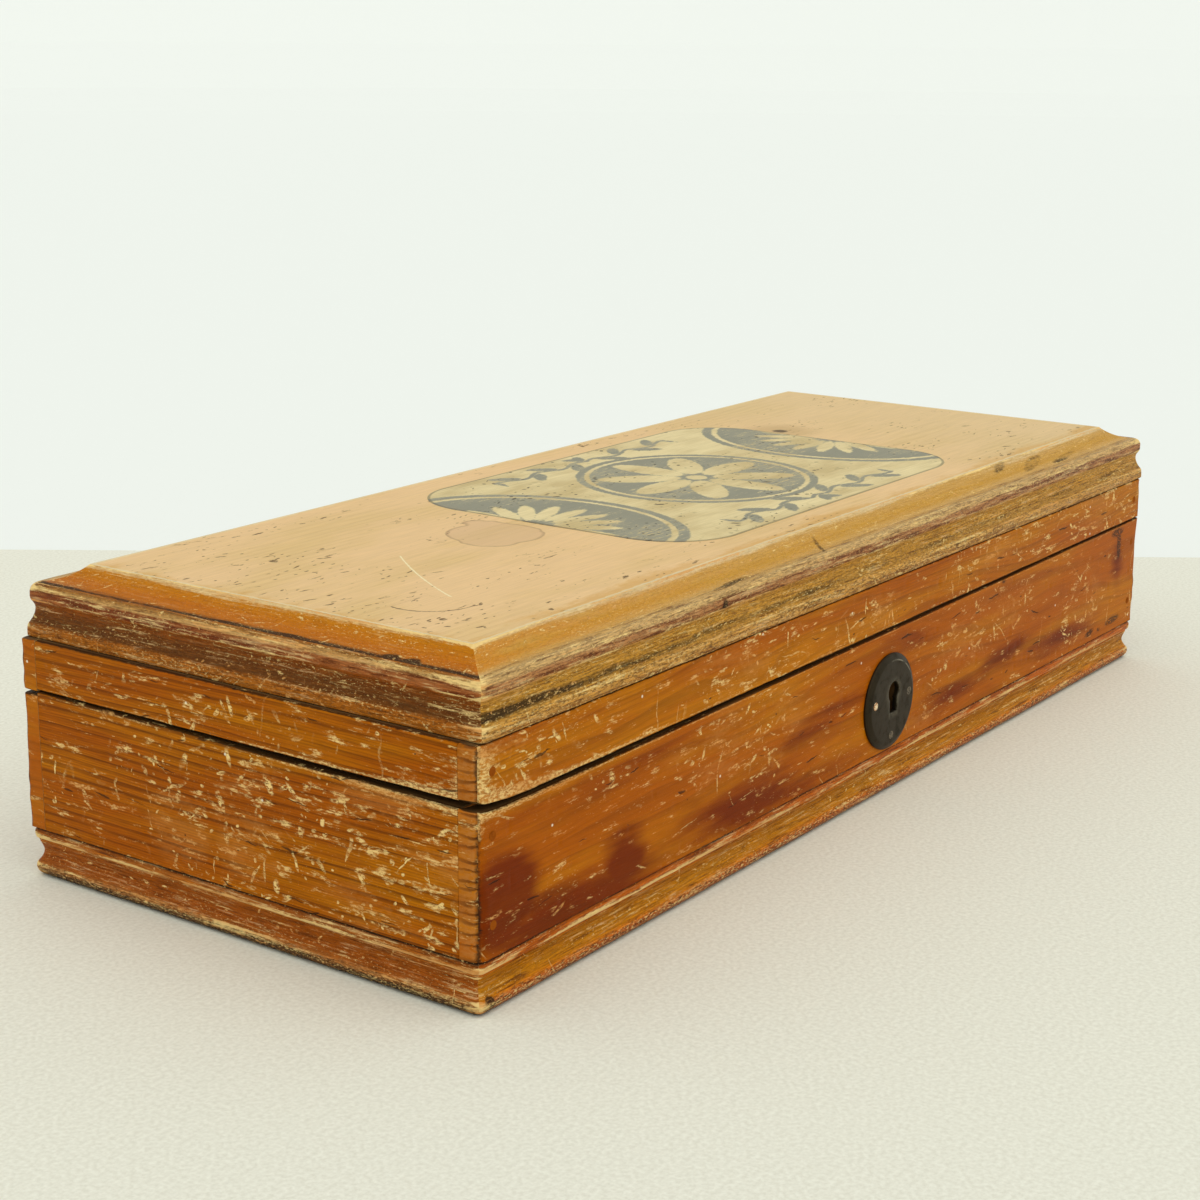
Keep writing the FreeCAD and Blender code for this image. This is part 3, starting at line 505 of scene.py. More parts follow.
def shellacked(name, colours, flow, pitch, line, scuffs, lean, thick, fibrous):
    """Shellacked pine: growth lines bent along the grain, with stains, dirt, rubs and scratches.

    flow is how far the lines bend, pitch their distance in mm and line their strength; scuffs is the
    share of scratches, lean their turn, thick how much is russet and fibrous how much fibre shows.
    """
    f = Finish(name, Specular_IOR_Level=0.05)
    lay = f.lay()
    parts = f.parts(lay)
    bend = f.cloud(lay, (140.0, 18.0, 18.0), 2.0)
    wander = f.cloud(lay, (30.0, 2.5, 6.0), 2.0)
    level = f.total((bend, flow), (wander, 0.8), (parts[1], 1.0), (parts[2], 0.3))
    late = f.rings(level, pitch)
    strong = f.cloud(lay, (38.0, 3.0, 5.0), 3.0)
    late = f.times(late, f.step(strong, 0.3, 0.6))
    thin = f.rings(level, pitch * 0.31)
    tone = f.cloud(lay, (60.0, 7.0, 9.0), 3.0)
    fibre = f.cloud(lay, (7.0, 0.28, 0.35), 5.0, 0.7)
    base = f.over(colours.russet, colours.amber, f.step(tone, thick - 0.18, thick + 0.18))
    edge = f.cloud(lay, (22.0, 3.4, 3.0), 4.0)
    stain = f.math("MULTIPLY_ADD", edge, 9.0, f.math("SUBTRACT", f.mark("stain"), 4.5))
    stain = f.step(stain, -1.6, 4.6)
    base = f.over(base, colours.stain, stain, 0.92)
    base = f.over(base, colours.latewood, thin, 1.2 * fibrous ** 2)
    base = f.over(base, colours.latewood, late, line)
    base = f.darkened(base, fibrous, fibre, (128, 116, 104), (255, 250, 240))
    crumb = f.cloud(lay, (1.3, 0.7, 0.8), 4.0, 0.7)
    patch = f.cloud(lay, (20.0, 6.0, 6.0), 3.0)
    end = f.mark("end")
    base = f.over(base, colours.endgrain, end, f.step(crumb, 0.3, 0.6))
    rays = f.rings(f.total((parts[1], 1.0), (crumb, 0.7), (patch, 5.0)), 2.0)
    rays = f.times(end, f.step(rays, 0.3, 0.9), f.step(strong, 0.24, 0.46))
    base = f.over(base, colours.latewood, rays, f.step(crumb, 0.25, 0.5))
    dirt = f.step(f.total((f.mark("grime"), 1.0), (crumb, 0.6), (patch, 0.5)), 0.92, 1.22)
    base = f.over(base, colours.grime, dirt, 0.88)
    rub = f.step(f.total((f.mark("wear"), 1.0), (crumb, 0.7), (patch, 1.1)), 1.52, 1.74)
    dense = f.cloud(lay, (24.0, 11.0, 9.0), 3.0)
    here = f.step(f.math("ADD", dense, f.mark("scuff")), 0.72 - scuffs * 0.3, 0.82 - scuffs * 0.3)
    hairs = f.scratches(
        lay,
        ((19.3, 5.1), 30.0, 10.0, 0.2, lean + 0.9, 1.4, 0.3),
        ((61.7, 33.3), 21.0, 6.5, 0.24, lean + 0.4, 2.2, 0.35))
    lines = f.scratches(
        lay,
        ((0, 0), 10.0, 5.5, 0.46, lean, 1.6, 0.4),
        ((31.7, 8.3), 5.5, 2.8, 0.46, lean, 3.0, 0.3),
        ((83.9, 3.7), 8.5, 3.4, 0.5, lean + 0.4, 2.0, 0.45),
        ((71.3, 18.9), 5.4, 2.0, 0.42, 0.2, 1.2, 0.5),
        ((11.1, 77.7), 3.0, 0.7, 0.36, 0.0, 2.0, 0.6))
    ragged = f.cloud(lay, (0.9, 0.4, 0.35), 3.0, 0.7)
    vary = f.step(f.cloud(lay, (4.5, 3.0, 3.0), 2.0), 0.38, 0.6)
    lines = f.times(lines, f.math("MULTIPLY_ADD", vary, 0.92, 0.08))
    gouges = f.scratch(lay, (57.3, 12.9), 12.6 - 7 * scuffs, 3.2, 0.82, lean, 2.2, 0.4)
    gouges = f.times(gouges, f.step(ragged, 0.42, 0.54), vary)
    lines = f.times(f.most(f.times(lines, f.step(ragged, 0.38, 0.52)), gouges), here)
    lines = f.most(lines, f.times(hairs, f.step(ragged, 0.4, 0.54), 1.1 - scuffs))
    blot = f.cloud(lay, (6.0, 2.0, 1.7), 4.0, 0.65)
    blot = f.total((blot, 1.0), (fibre, 0.35), (f.mark("scuff"), 0.1))
    blot = f.step(blot, 0.79 - 0.04 * scuffs, 0.89 - 0.04 * scuffs)
    blot = f.times(blot, f.step(ragged, 0.34, 0.6))
    salt = f.step(f.cloud(f.vector("ADD", lay, (5.5, 3.3, 0)), (0.8, 0.3, 0.3), 2.0), 0.66, 0.74)
    salt = f.times(salt, f.step(dense, 0.42, 0.62))
    rub = f.times(rub, f.math("MULTIPLY_ADD", f.step(ragged, 0.42, 0.58), 0.6, 0.15))
    pale = f.most(rub, f.times(lines, 0.92), f.times(blot, 0.8), f.times(salt, 0.5))
    warm = f.step(patch, 0.3 + 0.2 * scuffs, 0.54 + 0.2 * scuffs)
    base = f.over(base, f.over(colours.bare, colours.rubbed, warm), pale)
    haze = f.times(f.mark("scuff"), f.step(f.total((patch, 0.6), (crumb, 0.4)), 0.47, 0.6))
    base = f.over(base, colours.rubbed, haze, 0.45)
    nicks = f.scratch(lay, (3.3, 41.9), 9.0, 3.4, 0.2, 0.0, 0.35, 0.45)
    base = f.over(base, colours.grime, nicks, 0.75)
    # Painted highlight: tiny pale flecks as sparkle of the shellac's gloss
    fleck = f.node("ShaderNodeTexVoronoi", {"Vector": lay, "Scale": 0.03}, voronoi_dimensions="2D")
    painted_sparkle = f.step(fleck.outputs[0], 0.011, 0.005)
    base = f.over(base, tint(244, 232, 208), painted_sparkle, 0.85)
    black = f.step(f.mark("smudge"), 0.0, 0.5)
    black = f.times(black, f.step(ragged, 0.36, 0.52))
    base = f.over(base, colours.grime, black, 0.82)
    roughness = f.math("ADD", f.total((pale, 0.25), (fibre, 0.12), (dirt, 0.2), (patch, 0.1)), 0.3)
    height = f.total((fibre, 0.3), (late, -0.15), (lines, -0.5), (blot, -0.25), (rub, -0.3),
                     (nicks, -0.6))
    return f.finish(base, roughness, height, 0.18)


def moulded(name, colours, bands, lines, calm_from):
    """Shellacked pine on a moulding: colour by place on the profile, with dirt and rubs along it.

    lines is the strength of the scratches; past the place calm_from the wood is smoother.
    """
    f = Finish(name, Specular_IOR_Level=0.08)
    lay = f.lay()
    band = f.mark("band")
    fine = f.cloud(lay, (6.5, 0.3, 5.0), 5.0, 0.72)
    broad = f.cloud(lay, (45.0, 1.4, 9.0), 3.0)
    patch = f.cloud(lay, (16.0, 2.2, 9.0), 3.0)
    crumb = f.cloud(lay, (1.6, 0.6, 5.0), 4.0, 0.7)
    shifted = f.total((band, 1.0), (broad, 0.07), (fine, 0.05), (crumb, 0.03))
    shades = [(place, tint(*shade)) for place, *shade in bands]
    base = f.ramp(f.math("SUBTRACT", shifted, 0.075), shades)
    streaky = f.mark("streak")
    streak = f.cloud(lay, (10.0, 0.8, 5.0), 5.0, 0.7)
    grit = f.mark("grit")
    red = f.times(streaky, f.step(f.total((streak, 0.6), (broad, 0.4)), 0.53, 0.43))
    base = f.over(base, colours.stain, red, 0.72)
    dusty = f.times(streaky, f.step(f.total((streak, 0.6), (patch, 0.4)), 0.5, 0.6))
    base = f.over(base, colours.dust, dusty, 0.8)
    lively = f.math("MULTIPLY_ADD", f.step(band, calm_from, calm_from + 0.02), -0.75, 1.0)
    base = f.darkened(base, f.times(lively, 0.75), fine, (90, 80, 68), (255, 250, 242), 0.66)
    seam = f.times(f.step(streak, 0.47, 0.35), lively)
    base = f.over(base, colours.latewood, seam, 0.72)
    chalk = f.times(f.step(streak, 0.53, 0.63), f.step(patch, 0.38, 0.56), lively)
    chalk = f.times(chalk, f.step(crumb, 0.32, 0.52))
    base = f.over(base, f.over(colours.bare, colours.dust, f.step(broad, 0.42, 0.58)), chalk, 0.66)
    pepper = f.cloud(f.vector("ADD", lay, (9.1, 4.7, 0)), (1.5, 0.5, 5.0), 3.0, 0.7)
    pepper = f.step(pepper, 0.5, 0.6)
    base = f.over(base, colours.grime, pepper, grit, 0.75)
    dirt = f.step(f.total((f.mark("grime"), 1.0), (crumb, 0.55), (patch, 0.9)), 1.12, 1.5)
    base = f.over(base, colours.grime, dirt, 0.88)
    base = f.over(base, tint(204, 122, 8), f.mark("gold"), f.step(patch, 0.2, 0.6))
    rub = f.step(f.total((f.mark("wear"), 1.0), (crumb, 1.0), (fine, 0.9), (patch, 1.3)), 2.2, 2.5)
    marks = f.scratches(
        lay,
        ((0, 0), 7.0, 3.0, 0.26, 0.5, 2.2, 0.45),
        ((13.1, 57.7), 3.6, 1.3, 0.3, 0.0, 1.2, 0.45))
    ragged = f.cloud(lay, (0.9, 0.4, 5.0), 3.0, 0.7)
    marks = f.times(marks, f.step(ragged, 0.4, 0.55), lines)
    salt = f.step(f.math("MULTIPLY_ADD", grit, 0.06, ragged), 0.57, 0.67)
    salt = f.times(salt, f.most(f.step(patch, 0.36, 0.58), grit))
    pale = f.most(f.times(rub, 0.8), marks, f.times(salt, 0.66))
    base = f.over(base, f.over(colours.bare, colours.rubbed, f.step(broad, 0.45, 0.6)), pale)
    roughness = f.math("ADD", f.total((pale, 0.25), (fine, 0.15), (dirt, 0.2)), 0.32)
    height = f.total((fine, 0.4), (rub, -0.3), (marks, -0.4), (crumb, 0.25), (dirt, 0.15),
                     (pepper, -0.3))
    return f.finish(base, roughness, height, 0.2)


def worn_field(name, colours):
    """Bare, scrubbed pine on top of the lid: pale, with dark flecks along the grain and a dirty rim."""
    f = Finish(name, Specular_IOR_Level=0.12)
    place = f.object_mm()
    tone = f.cloud(place, (46.0, 17.0, 14.0), 4.0)
    fibre = f.cloud(place, (9.0, 0.5, 0.4), 5.0, 0.65)
    parts = f.parts(place)
    bend = f.cloud(place, (170.0, 30.0, 18.0), 2.0)
    late = f.rings(f.total((bend, 16.0), (parts[1], 1.0)), 2.6)
    late = f.times(late, f.step(tone, 0.4, 0.6))
    base = f.over(colours.field, colours.scrubbed, f.step(tone, 0.35, 0.7))
    base = f.over(base, tint(220, 194, 146), f.step(parts[0], 30.0, 130.0), 0.5)
    base = f.over(base, tint(186, 138, 84), late, 0.12)
    base = f.darkened(base, 0.22, fibre, (166, 154, 140), (255, 252, 248))
    crumb = f.cloud(place, (2.2, 1.0, 1.0), 4.0, 0.7)
    patch = f.cloud(place, (22.0, 7.0, 8.0), 3.0)
    amber = f.step(f.total((f.mark("wear"), 1.0), (crumb, 0.5), (patch, 1.2)), 1.15, 1.5)
    base = f.over(base, tint(206, 152, 66), amber, 0.6)
    group = f.math("ADD", f.cloud(place, (24.0, 12.0, 16.0), 3.0), f.mark("scuff"))
    flecks = f.scratches(
        place,
        ((0, 0), 2.3, 1.1, 0.24, 0.0, 0.7, 0.55),
        ((17.3, 9.1), 5.2, 2.9, 0.34, 0.1, 0.8, 0.45),
        ((57.3, 29.1), 11.0, 2.3, 0.9, 0.0, 1.6, 0.5))
    flecks = f.times(flecks, f.step(f.total((group, 1.0), (crumb, 0.4)), 0.72, 0.84))
    flecks = f.times(flecks, f.step(fibre, 0.36, 0.5))
    base = f.over(base, tint(80, 62, 40), flecks, 0.85)
    rim = f.step(f.total((f.mark("grime"), 1.0), (crumb, 0.6), (patch, 0.7)), 1.15, 1.5)
    base = f.over(base, tint(88, 70, 46), rim, 0.75)
    damp = f.math("MULTIPLY_ADD", patch, 4.0, f.math("SUBTRACT", f.mark("damp"), 2.0))
    ring = f.times(f.step(damp, 0.0, 0.25), f.step(damp, 1.1, 0.3))
    base = f.over(base, tint(204, 166, 128), f.step(damp, 0.0, 0.5), 0.42)
    base = f.over(base, tint(136, 100, 64), ring, 0.4)
    border = f.step(f.total((f.mark("border"), 1.0), (crumb, 0.8)), 0.8, 1.0)
    base = f.over(base, tint(230, 208, 164), border, 0.75)
    knot = f.mark("knot")
    base = f.over(base, tint(172, 138, 86), f.step(knot, 13.0, 4.0), 0.42)
    core = f.math("MULTIPLY_ADD", crumb, 1.5, knot)
    base = f.over(base, tint(72, 54, 34), f.step(core, 3.2, 2.2), 0.85)
    light = f.math("MULTIPLY_ADD", crumb, 0.5, f.math("ABSOLUTE", f.mark("light_scratch")))
    light = f.step(light, 0.56, 0.3)
    dark = f.math("MULTIPLY_ADD", crumb, 0.8, f.math("ABSOLUTE", f.mark("dark_scratch")))
    dark = f.step(dark, 0.75, 0.45)
    base = f.over(base, tint(246, 228, 182), light, 0.85)
    base = f.over(base, tint(80, 62, 42), dark, 0.75)
    roughness = f.math("ADD", f.total((fibre, 0.15), (flecks, 0.2)), 0.5)
    height = f.total((fibre, 0.4), (late, -0.15), (flecks, -0.6), (light, -0.5), (dark, -0.5))
    return f.finish(base, roughness, height, 0.14)


def bare_pine(name, colours, light=1.0):
    """Unfinished pine inside the box, a little darkened by age; light well below 1 darkens it further,
    as painted shade on the edges where case and lid meet and in the keyway.
    """
    f = Finish(name, Specular_IOR_Level=0.2)
    place = f.lay()
    bend = f.cloud(place, (160.0, 24.0, 24.0), 2.0)
    parts = f.parts(place)
    wander = f.cloud(place, (30.0, 3.0, 6.0), 2.0)
    late = f.rings(f.total((bend, 16.0), (wander, 0.9), (parts[1], 1.0), (parts[2], 0.3)), 3.4)
    fibre = f.cloud(place, (12.0, 0.4, 0.4), 4.0, 0.65)
    tone = f.cloud(place, (60.0, 15.0, 15.0), 3.0)
    base = f.over(colours.inner, tint(152, 98, 46), late, 0.55)
    base = f.over(base, tint(176, 132, 80), f.step(tone, 0.45, 0.75), 0.6)
    base = f.darkened(base, 0.4, fibre, (176, 166, 152), (255, 252, 248))
    specks = f.scratch(place, (0, 0), 11.0, 1.6, 0.8, 0.0, 0.8, 0.6)
    base = f.over(base, tint(96, 66, 36), specks, 0.4)
    # Painted shade where light is below 1: the colour is multiplied down
    base = f.mix(1.0, base, (light, light ** 1.1, light ** 1.25, 1.0), "MULTIPLY")
    height = f.total((fibre, 0.5), (late, -0.2))
    return f.finish(base, f.math("MULTIPLY_ADD", fibre, 0.2, 0.55), height, 0.14)


def metal(name, shade, dull, rough, spot_shade, shine=0.85, sheen=0.5):
    """Old metal: mottled, duller in its spots, with a painted highlight where a mesh has a glint mark.
    """
    f = Finish(name, Metallic=shine, Specular_IOR_Level=sheen)
    place = f.object_mm()
    mottle = f.cloud(place, (2.4, 2.4, 2.4), 5.0, 0.65)
    fine = f.cloud(place, (0.35, 0.35, 0.35), 3.0)
    spot = f.step(mottle, 0.5, 0.68)
    base = f.over(shade, spot_shade, spot, dull)
    base = f.darkened(base, 0.3, fine, (150, 146, 140), (255, 252, 246))
    # Painted highlight: a pale colour laid on where the mesh's glint mark is
    base = f.over(base, tint(190, 180, 158), f.mark("glint"), f.step(mottle, 0.35, 0.6))
    roughness = f.math("ADD", f.total((mottle, 0.25), (fine, 0.15), (spot, 0.12)), rough)
    height = f.total((mottle, 0.5), (fine, 0.35), (spot, 0.3))
    return f.finish(base, roughness, height, 0.05)


def pin_iron(name):
    """Heads of the escutcheon's pins: dark as the plate, but the left one painted pale: worn metal with
    a painted glint.
    """
    f = Finish(name, Metallic=0.5)
    place = f.object_mm()
    parts = f.parts(place)
    mottle = f.cloud(place, (0.5, 0.5, 0.5), 3.0, 0.6)
    dark = f.over(tint(108, 94, 72), tint(20, 15, 10), f.step(mottle, 0.45, 0.62))
    # Painted highlight: the pale cream of the left pin's head stands in for a glint on worn metal
    bright = f.over(tint(246, 226, 190), tint(176, 112, 52), f.step(mottle, 0.42, 0.6))
    base = f.over(dark, bright, f.step(parts[0], -1.0, -3.0))
    return f.finish(base, f.math("MULTIPLY_ADD", mottle, 0.3, 0.25), mottle, 0.08)


# Places on boards: middle and half sizes along and up, and tilt
FRONT_STAINS = [(-138, 20, 12, 11, 0.0), (-101, 16, 9, 8, 0.1), (-114, 11, 36, 8, -0.08),
                (-104, 35.0, 26, 1.8, -0.03), (-56, 15, 30, 6, -0.06), (-60, 33.5, 24, 1.4, -0.05),
                (-28, 24, 26, 3.0, 0.12), (34, 16, 18, 4.4, 0.05), (62, 19, 22, 4.2, 0.12),
                (96, 17, 26, 3.8, 0.0), (132, 30, 4, 8, 0.1), (14, 35, 10, 2.0, -0.1)]
FRONT_RUBS = [(-60, 30, 26, 9, 0.0), (-50, 24, 8, 8, 0.0), (48, 28, 30, 8, 0.15), (20, 14, 10, 3, 0.0),
              (110, 22, 12, 9, 0.0)]
FRONT_SMUDGES = [(116, 13.0, 3.6, 1.1, 0.15), (122, 12.7, 1.6, 0.8, 0.0), (131, 13.4, 6.0, 1.2, 0.05),
                 (60.8, 38.4, 1.8, 0.7, 0.0), (131, 37.6, 5.0, 1.3, 0.0), (132.5, 34, 1.6, 4.5, 0.1),
                 (-31, 15.6, 0.9, 0.4, 0.0)]
BACK_STAINS = [(-70, 14, 40, 6, 0.05), (60, 20, 30, 6, -0.1), (110, 33, 20, 3, 0.0)]
BACK_RUBS = [(0, 26, 60, 9, 0.0), (-110, 20, 20, 8, 0.0)]
END_RUBS = [(-38, 30, 16, 10, 0.0), (-5, 26, 10, 14, 0.3), (-35, 15, 14, 4, 0.0), (15, 20, 8, 8, 0.0),
            (-47, 27, 8, 13, 0.0)]
END_SMUDGES = [(49, 24.6, 8, 0.4, 0.0), (24, 20.3, 4, 0.35, 0.0), (-35.6, 14.4, 1.0, 0.55, 0.0)]
FIELD_FLECKS = [(-113, 18, 10, 24, 0.2), (-128, -10, 5, 34, 0.0), (-92, -26, 14, 5, 0.0),
                (-73, -45, 12, 4, 0.0), (-118, -38, 12, 7, 0.1), (-77, 10, 3, 3, 0.0),
                (-20, -46, 22, 3, 0.0), (110, -28, 4, 10, 0.3), (-105, 42, 22, 4, 0.0)]
FIELD_DAMP = [(-63.5, 2.0, 10.0, 11.0, 0.5), (-69, -1, 6, 7, 0.2), (-58, 9, 4, 6, 0.0)]
PANEL_FLECKS = [(-52, 17, 11, 5, 0.0), (-33, -35, 10, 5, 0.0), (-16, 13, 8, 3, 0.0), (8, 16, 4, 8, 0.3),
                (48, 8, 5, 4, 0.0), (0, -26, 8, 6, 0.0)]
COVE_SMEARS = [(-22, -53.5, 4.5, 0.7, 0.9), (73, -50.0, 5, 1.0, 0.2), (88, -52.0, 8, 1.6, 0.2),
               (104, -53.5, 9, 1.2, 0.1), (-141.5, 4, 0.6, 2.4, 0.0), (-141, -12, 0.7, 2.8, 0.0),
               (-140, -35.5, 1.0, 1.7, 0.0), (-140, -40.5, 0.9, 1.5, 0.0), (-60, -55, 8, 0.6, 0.0)]
RAIL_RUBS = [(-58, 46, 20, 5, 0.0), (-8, 44, 14, 4, 0.0), (-135, 46, 10, 5, 0.0), (62, 47, 26, 4, 0.0),
             (118, 46, 24, 6, 0.0)]

# Colours of the mouldings from below: place on the profile, red, green and blue. The short sides'
# colours are mostly darker than the long ones, partly for end grain and dirt and partly as painted
# shade, as if less light fell on them.
BASE_LONG = (
    (0.0, 96, 54, 20), (0.1, 184, 92, 24), (0.24, 226, 118, 34), (0.4, 228, 138, 14),
    (0.46, 214, 138, 4), (0.57, 204, 124, 2), (0.66, 232, 124, 4), (0.8, 232, 118, 4),
    (0.94, 200, 100, 8), (1.0, 60, 34, 12),
)
BASE_SHORT = (
    (0.0, 76, 48, 22), (0.1, 154, 98, 48), (0.24, 196, 128, 66), (0.4, 190, 108, 36),
    (0.46, 176, 90, 14), (0.57, 186, 98, 14), (0.66, 204, 116, 26), (0.8, 208, 118, 24),
    (0.94, 160, 86, 18), (1.0, 50, 30, 12),
)
TOP_LONG = (
    (0.0, 40, 26, 14), (0.09, 130, 82, 30), (0.18, 232, 168, 78), (0.32, 234, 174, 82),
    (0.44, 208, 152, 60), (0.5, 224, 162, 56), (0.56, 230, 166, 68), (0.6, 214, 150, 90),
    (0.7, 210, 146, 92), (0.74, 236, 192, 128), (0.83, 232, 190, 124),
    (0.88, 212, 164, 88), (0.93, 206, 152, 52), (0.98, 212, 164, 88),
    (1.0, 236, 208, 158),
)
TOP_SHORT = (
    (0.0, 36, 24, 14), (0.09, 110, 64, 22), (0.18, 200, 118, 26), (0.32, 184, 104, 20),
    (0.44, 120, 70, 22), (0.5, 134, 74, 18), (0.56, 176, 92, 20), (0.6, 186, 106, 50),
    (0.7, 194, 120, 66), (0.74, 236, 186, 116), (0.8, 176, 118, 46), (0.86, 186, 106, 6),
    (0.92, 194, 108, 0), (0.98, 200, 124, 4), (1.0, 234, 202, 146),
)

# Lean of the meeting edges in mm: at the left or front end, at the other one, and at the near corner
CASE_LEANS = {"front": (-1.55, 0.42, 1.0), "left": (-0.62, 0.8, 0.0), "right": (0.4, 0.0, 0.0)}
LID_LEANS = {"front": (-1.17, 0.05, 1.4), "left": (0.12, 0.5, 0.0), "right": (0.05, 0.0, 0.0)}


# Boards that are lapped into the long ones, by body
END_NODES = {
    "case": ("left_end_board", "right_end_board"),
    "lid": ("lid_left_rail", "lid_right_rail"),
}


def worn_board(node, name, body, finishes, wear, step, seed, cuts=(), stains=(), rubs=(), smudges=(),
               holes=(), lean=(0.0, 0.0, 0.0)):
    """A board as the lattice surface of its CAD box less its cuts, rubbed at its arrises and dented.

    The edge where case and lid meet leans from one height to another, with a rise at the near corner.
    """
    case = body == "case"
    board = Board(node)
    own_cuts = [board.cut(*cut) for cut in cuts]
    low = np.array([board.low[board.run], 0.0, board.low[2]])
    high = np.array([board.high[board.run], board.thick, board.high[2]])
    steps = (step, 1.2, 0.62)
    lines = []
    for axis in range(3):
        marks = [cut[side][axis] for cut in own_cuts for side in (0, 1)]
        lines.append(cut_lines(low[axis], high[axis], steps[axis], np.array(marks, dtype=float)))
    flat, quads, axes, sides = wood_surface(lines, own_cuts)
    shift = np.array([seed * 311.0, seed * 47.0, seed * 29.0])
    world = board.place(flat)
    corner = np.abs(world[:, :2] - NEAR_CORNER).sum(axis=1)
    amount = 1 + 0.45 * noise(flat + shift, 7.0, 5) + 0.3 * noise(flat + shift, 2.2, 6)
    amount = (np.clip(amount, 0.3, 1.7) * (1 + 0.7 * np.exp(-corner / 12)))[:, None]
    long_board = board.run == 0
    end_round = wear.corner if long_board else wear.inside * 0.4
    foot_share, top_share = (0.12, 0.5) if case else (0.5, 0.75)
    low_round = amount * np.array([end_round, wear.corner, wear.arris * foot_share])
    high_round = amount * np.array([end_round, wear.inside, wear.arris * top_share])
    points = rub_box(flat, low, high, low_round, high_round)
    across, up = flat[:, 0], flat[:, 2]
    top, foot = high[2] - up, up - low[2]
    ends = np.minimum(across - low[0], high[0] - across)
    face = flat[:, 1] < 1e-6
    count = int((high[0] - low[0]) * (high[2] - low[2]) / DENT_AREA)
    spans = ((low[0], high[0]), (low[2], high[2]))
    dents = pits(across, up, spans, count, (0.35, 1.3), seed + 50) * wear.dent
    wave = 0.06 * (1 + noise(flat + shift, np.array([45.0, 9.0, 11.0]), 8))
    calm = smooth(np.minimum(np.minimum(top, foot), ends) / 1.2)
    points[face, 1] += ((dents + wave) * calm)[face]
    share = foot / (high[2] - low[2])
    near, far, rise = lean
    offset = near + (far - near) * (across - low[0]) / (high[0] - low[0])
    offset += rise * np.exp((low[0] - across) / 3.5)
    points[:, 2] += wear.lean * offset * (share ** 6 if case else (1 - share) ** 2)
    # Distances from the edge where case and lid meet, and from the joint with the base or top board
    meet, joint = (top, foot) if case else (foot, top)
    worn = 0.7 * np.exp(-np.abs(meet - 0.5) / 0.7)
    worn_ends = (0.3 if long_board else 0.05) * np.exp(-ends / 2.6)
    worn = np.maximum(worn, worn_ends) * np.exp(-flat[:, 1] / 1.5)
    worn += (0.2 + 0.75 * bell(up, 43, 8)) * np.exp(-corner / 27) * face
    arris = np.exp(-(ends ** 2 + flat[:, 1] ** 2) / 2.6) * (0.6 if long_board else 0.0)
    groove = 0.95 * np.exp(-meet / 0.45)
    groove = np.maximum(groove, (0.62 if case else 0.72) * np.exp(-joint / 0.5))
    groove *= np.exp(-np.maximum(flat[:, 1] - 4, 0))
    marks = {
        "wear": worn,
        "grime": np.maximum(arris, groove),
        "scuff": 0.3 * smooth(spots(across, up, rubs) / 4 + 0.5),
        "smudge": spots(across, up, smudges),
    }
    middle = flat[quads].mean(axis=1)
    at_end = (axes == 0) & (np.minimum(middle[:, 0] - low[0], high[0] - middle[:, 0]) < 1e-3)
    facing = axes == 1
    inner = facing & (sides > 0) | (middle[:, 1] > 2.1) & (axes != 0) & ~(facing & (sides < 0))
    meeting = (axes == 2) & (np.minimum(middle[:, 2] - low[2], high[2] - middle[:, 2]) < 1e-3)
    if board.mirrored:
        quads = quads[:, ::-1]
    marks["stain"] = np.where(at_end[:, None], -FAR, spots(across, up, stains)[quads]).ravel()
    faded = (0.12 + 0.76 * np.exp(-corner / 30)) * (1 - 0.6 * smooth(flat[:, 1] / END_GRAIN))
    marks["end"] = np.where(at_end[:, None], faded[quads], 0.0).ravel()
    lay = np.stack([across, up, flat[:, 1]], axis=1)[quads]
    marks["lay"] = (np.where(at_end[:, None, None], lay[..., ::-1], lay) + shift).reshape(-1, 3)
    # The third finish goes on meeting edges more than 0.8 mm in and on the keyway: painted shade for
    # the gap and the keyhole
    picks = np.where(meeting & (middle[:, 1] > 0.8), 2, inner)
    for hole_low, hole_high in [board.cut(*hole) for hole in holes]:
        picks[np.all((middle > hole_low) & (middle < hole_high), axis=1)] = 2
    return make_piece(name, board.place(points), [quads], marks, finishes, picks, body,
                      [node])


def rebates(body):
    """Boxes that the end boards take out of the front and back boards, a little longer and higher."""
    boxes = [cad_box(node) for node in END_NODES[body]]
    return [(low - (1, 0, 1), high + (1, 0, 1)) for low, high in boxes]


def gains(body):
    """Boxes that the hinge leaves take out of the back board or the back rail."""
    boxes = []
    for side in ("left", "right"):
        low, high = cad_box(f"{side}_hinge_{body}_leaf")
        edge = cad_box("back_board")[1][2] if body == "case" else cad_box("lid_back_rail")[0][2]
        levels = (edge - LEAF_BED, edge + 1) if body == "case" else (edge - 1, edge + LEAF_BED)
        boxes.append((np.array([low[0], low[1], levels[0]]), np.array([high[0], high[1], levels[1]])))
    return boxes


def lock_cuts():
    """Boxes that the lock takes out of the front board: plate, flange, cap and the way in for a key."""
    plate_low, plate_high = cad_box("lock_plate")
    cap_low, cap_high = cad_box("lock_cap")
    thick = plate_high[2] - cap_high[2]
    past = np.array([0, 1, 1])
    wide, deep = KEYWAY
    key_x = (plate_low[0] + plate_high[0]) / 2
    post_low, post_high = cad_box("lock_key_post")
    key_z = (post_low[2] + post_high[2]) / 2
    return [
        (np.array([plate_low[0], plate_high[1] - thick, plate_low[2]]), plate_high + past),
        (np.array([plate_low[0], plate_low[1], plate_high[2] - thick]), plate_high + past),
        (cap_low, np.array([cap_high[0], plate_high[1] + 1, plate_high[2] + 1])),
        (np.array([key_x - wide, cap_low[1] - 4, key_z - deep]),
         np.array([key_x + wide, cap_low[1] + 1, key_z + wide])),
    ]


def strike_cut():
    """Box that the strike plate takes out of the lid's front rail."""
    low, high = cad_box("strike_plate")
    return low - (0, 0, 1), high + (0, 1, 0)


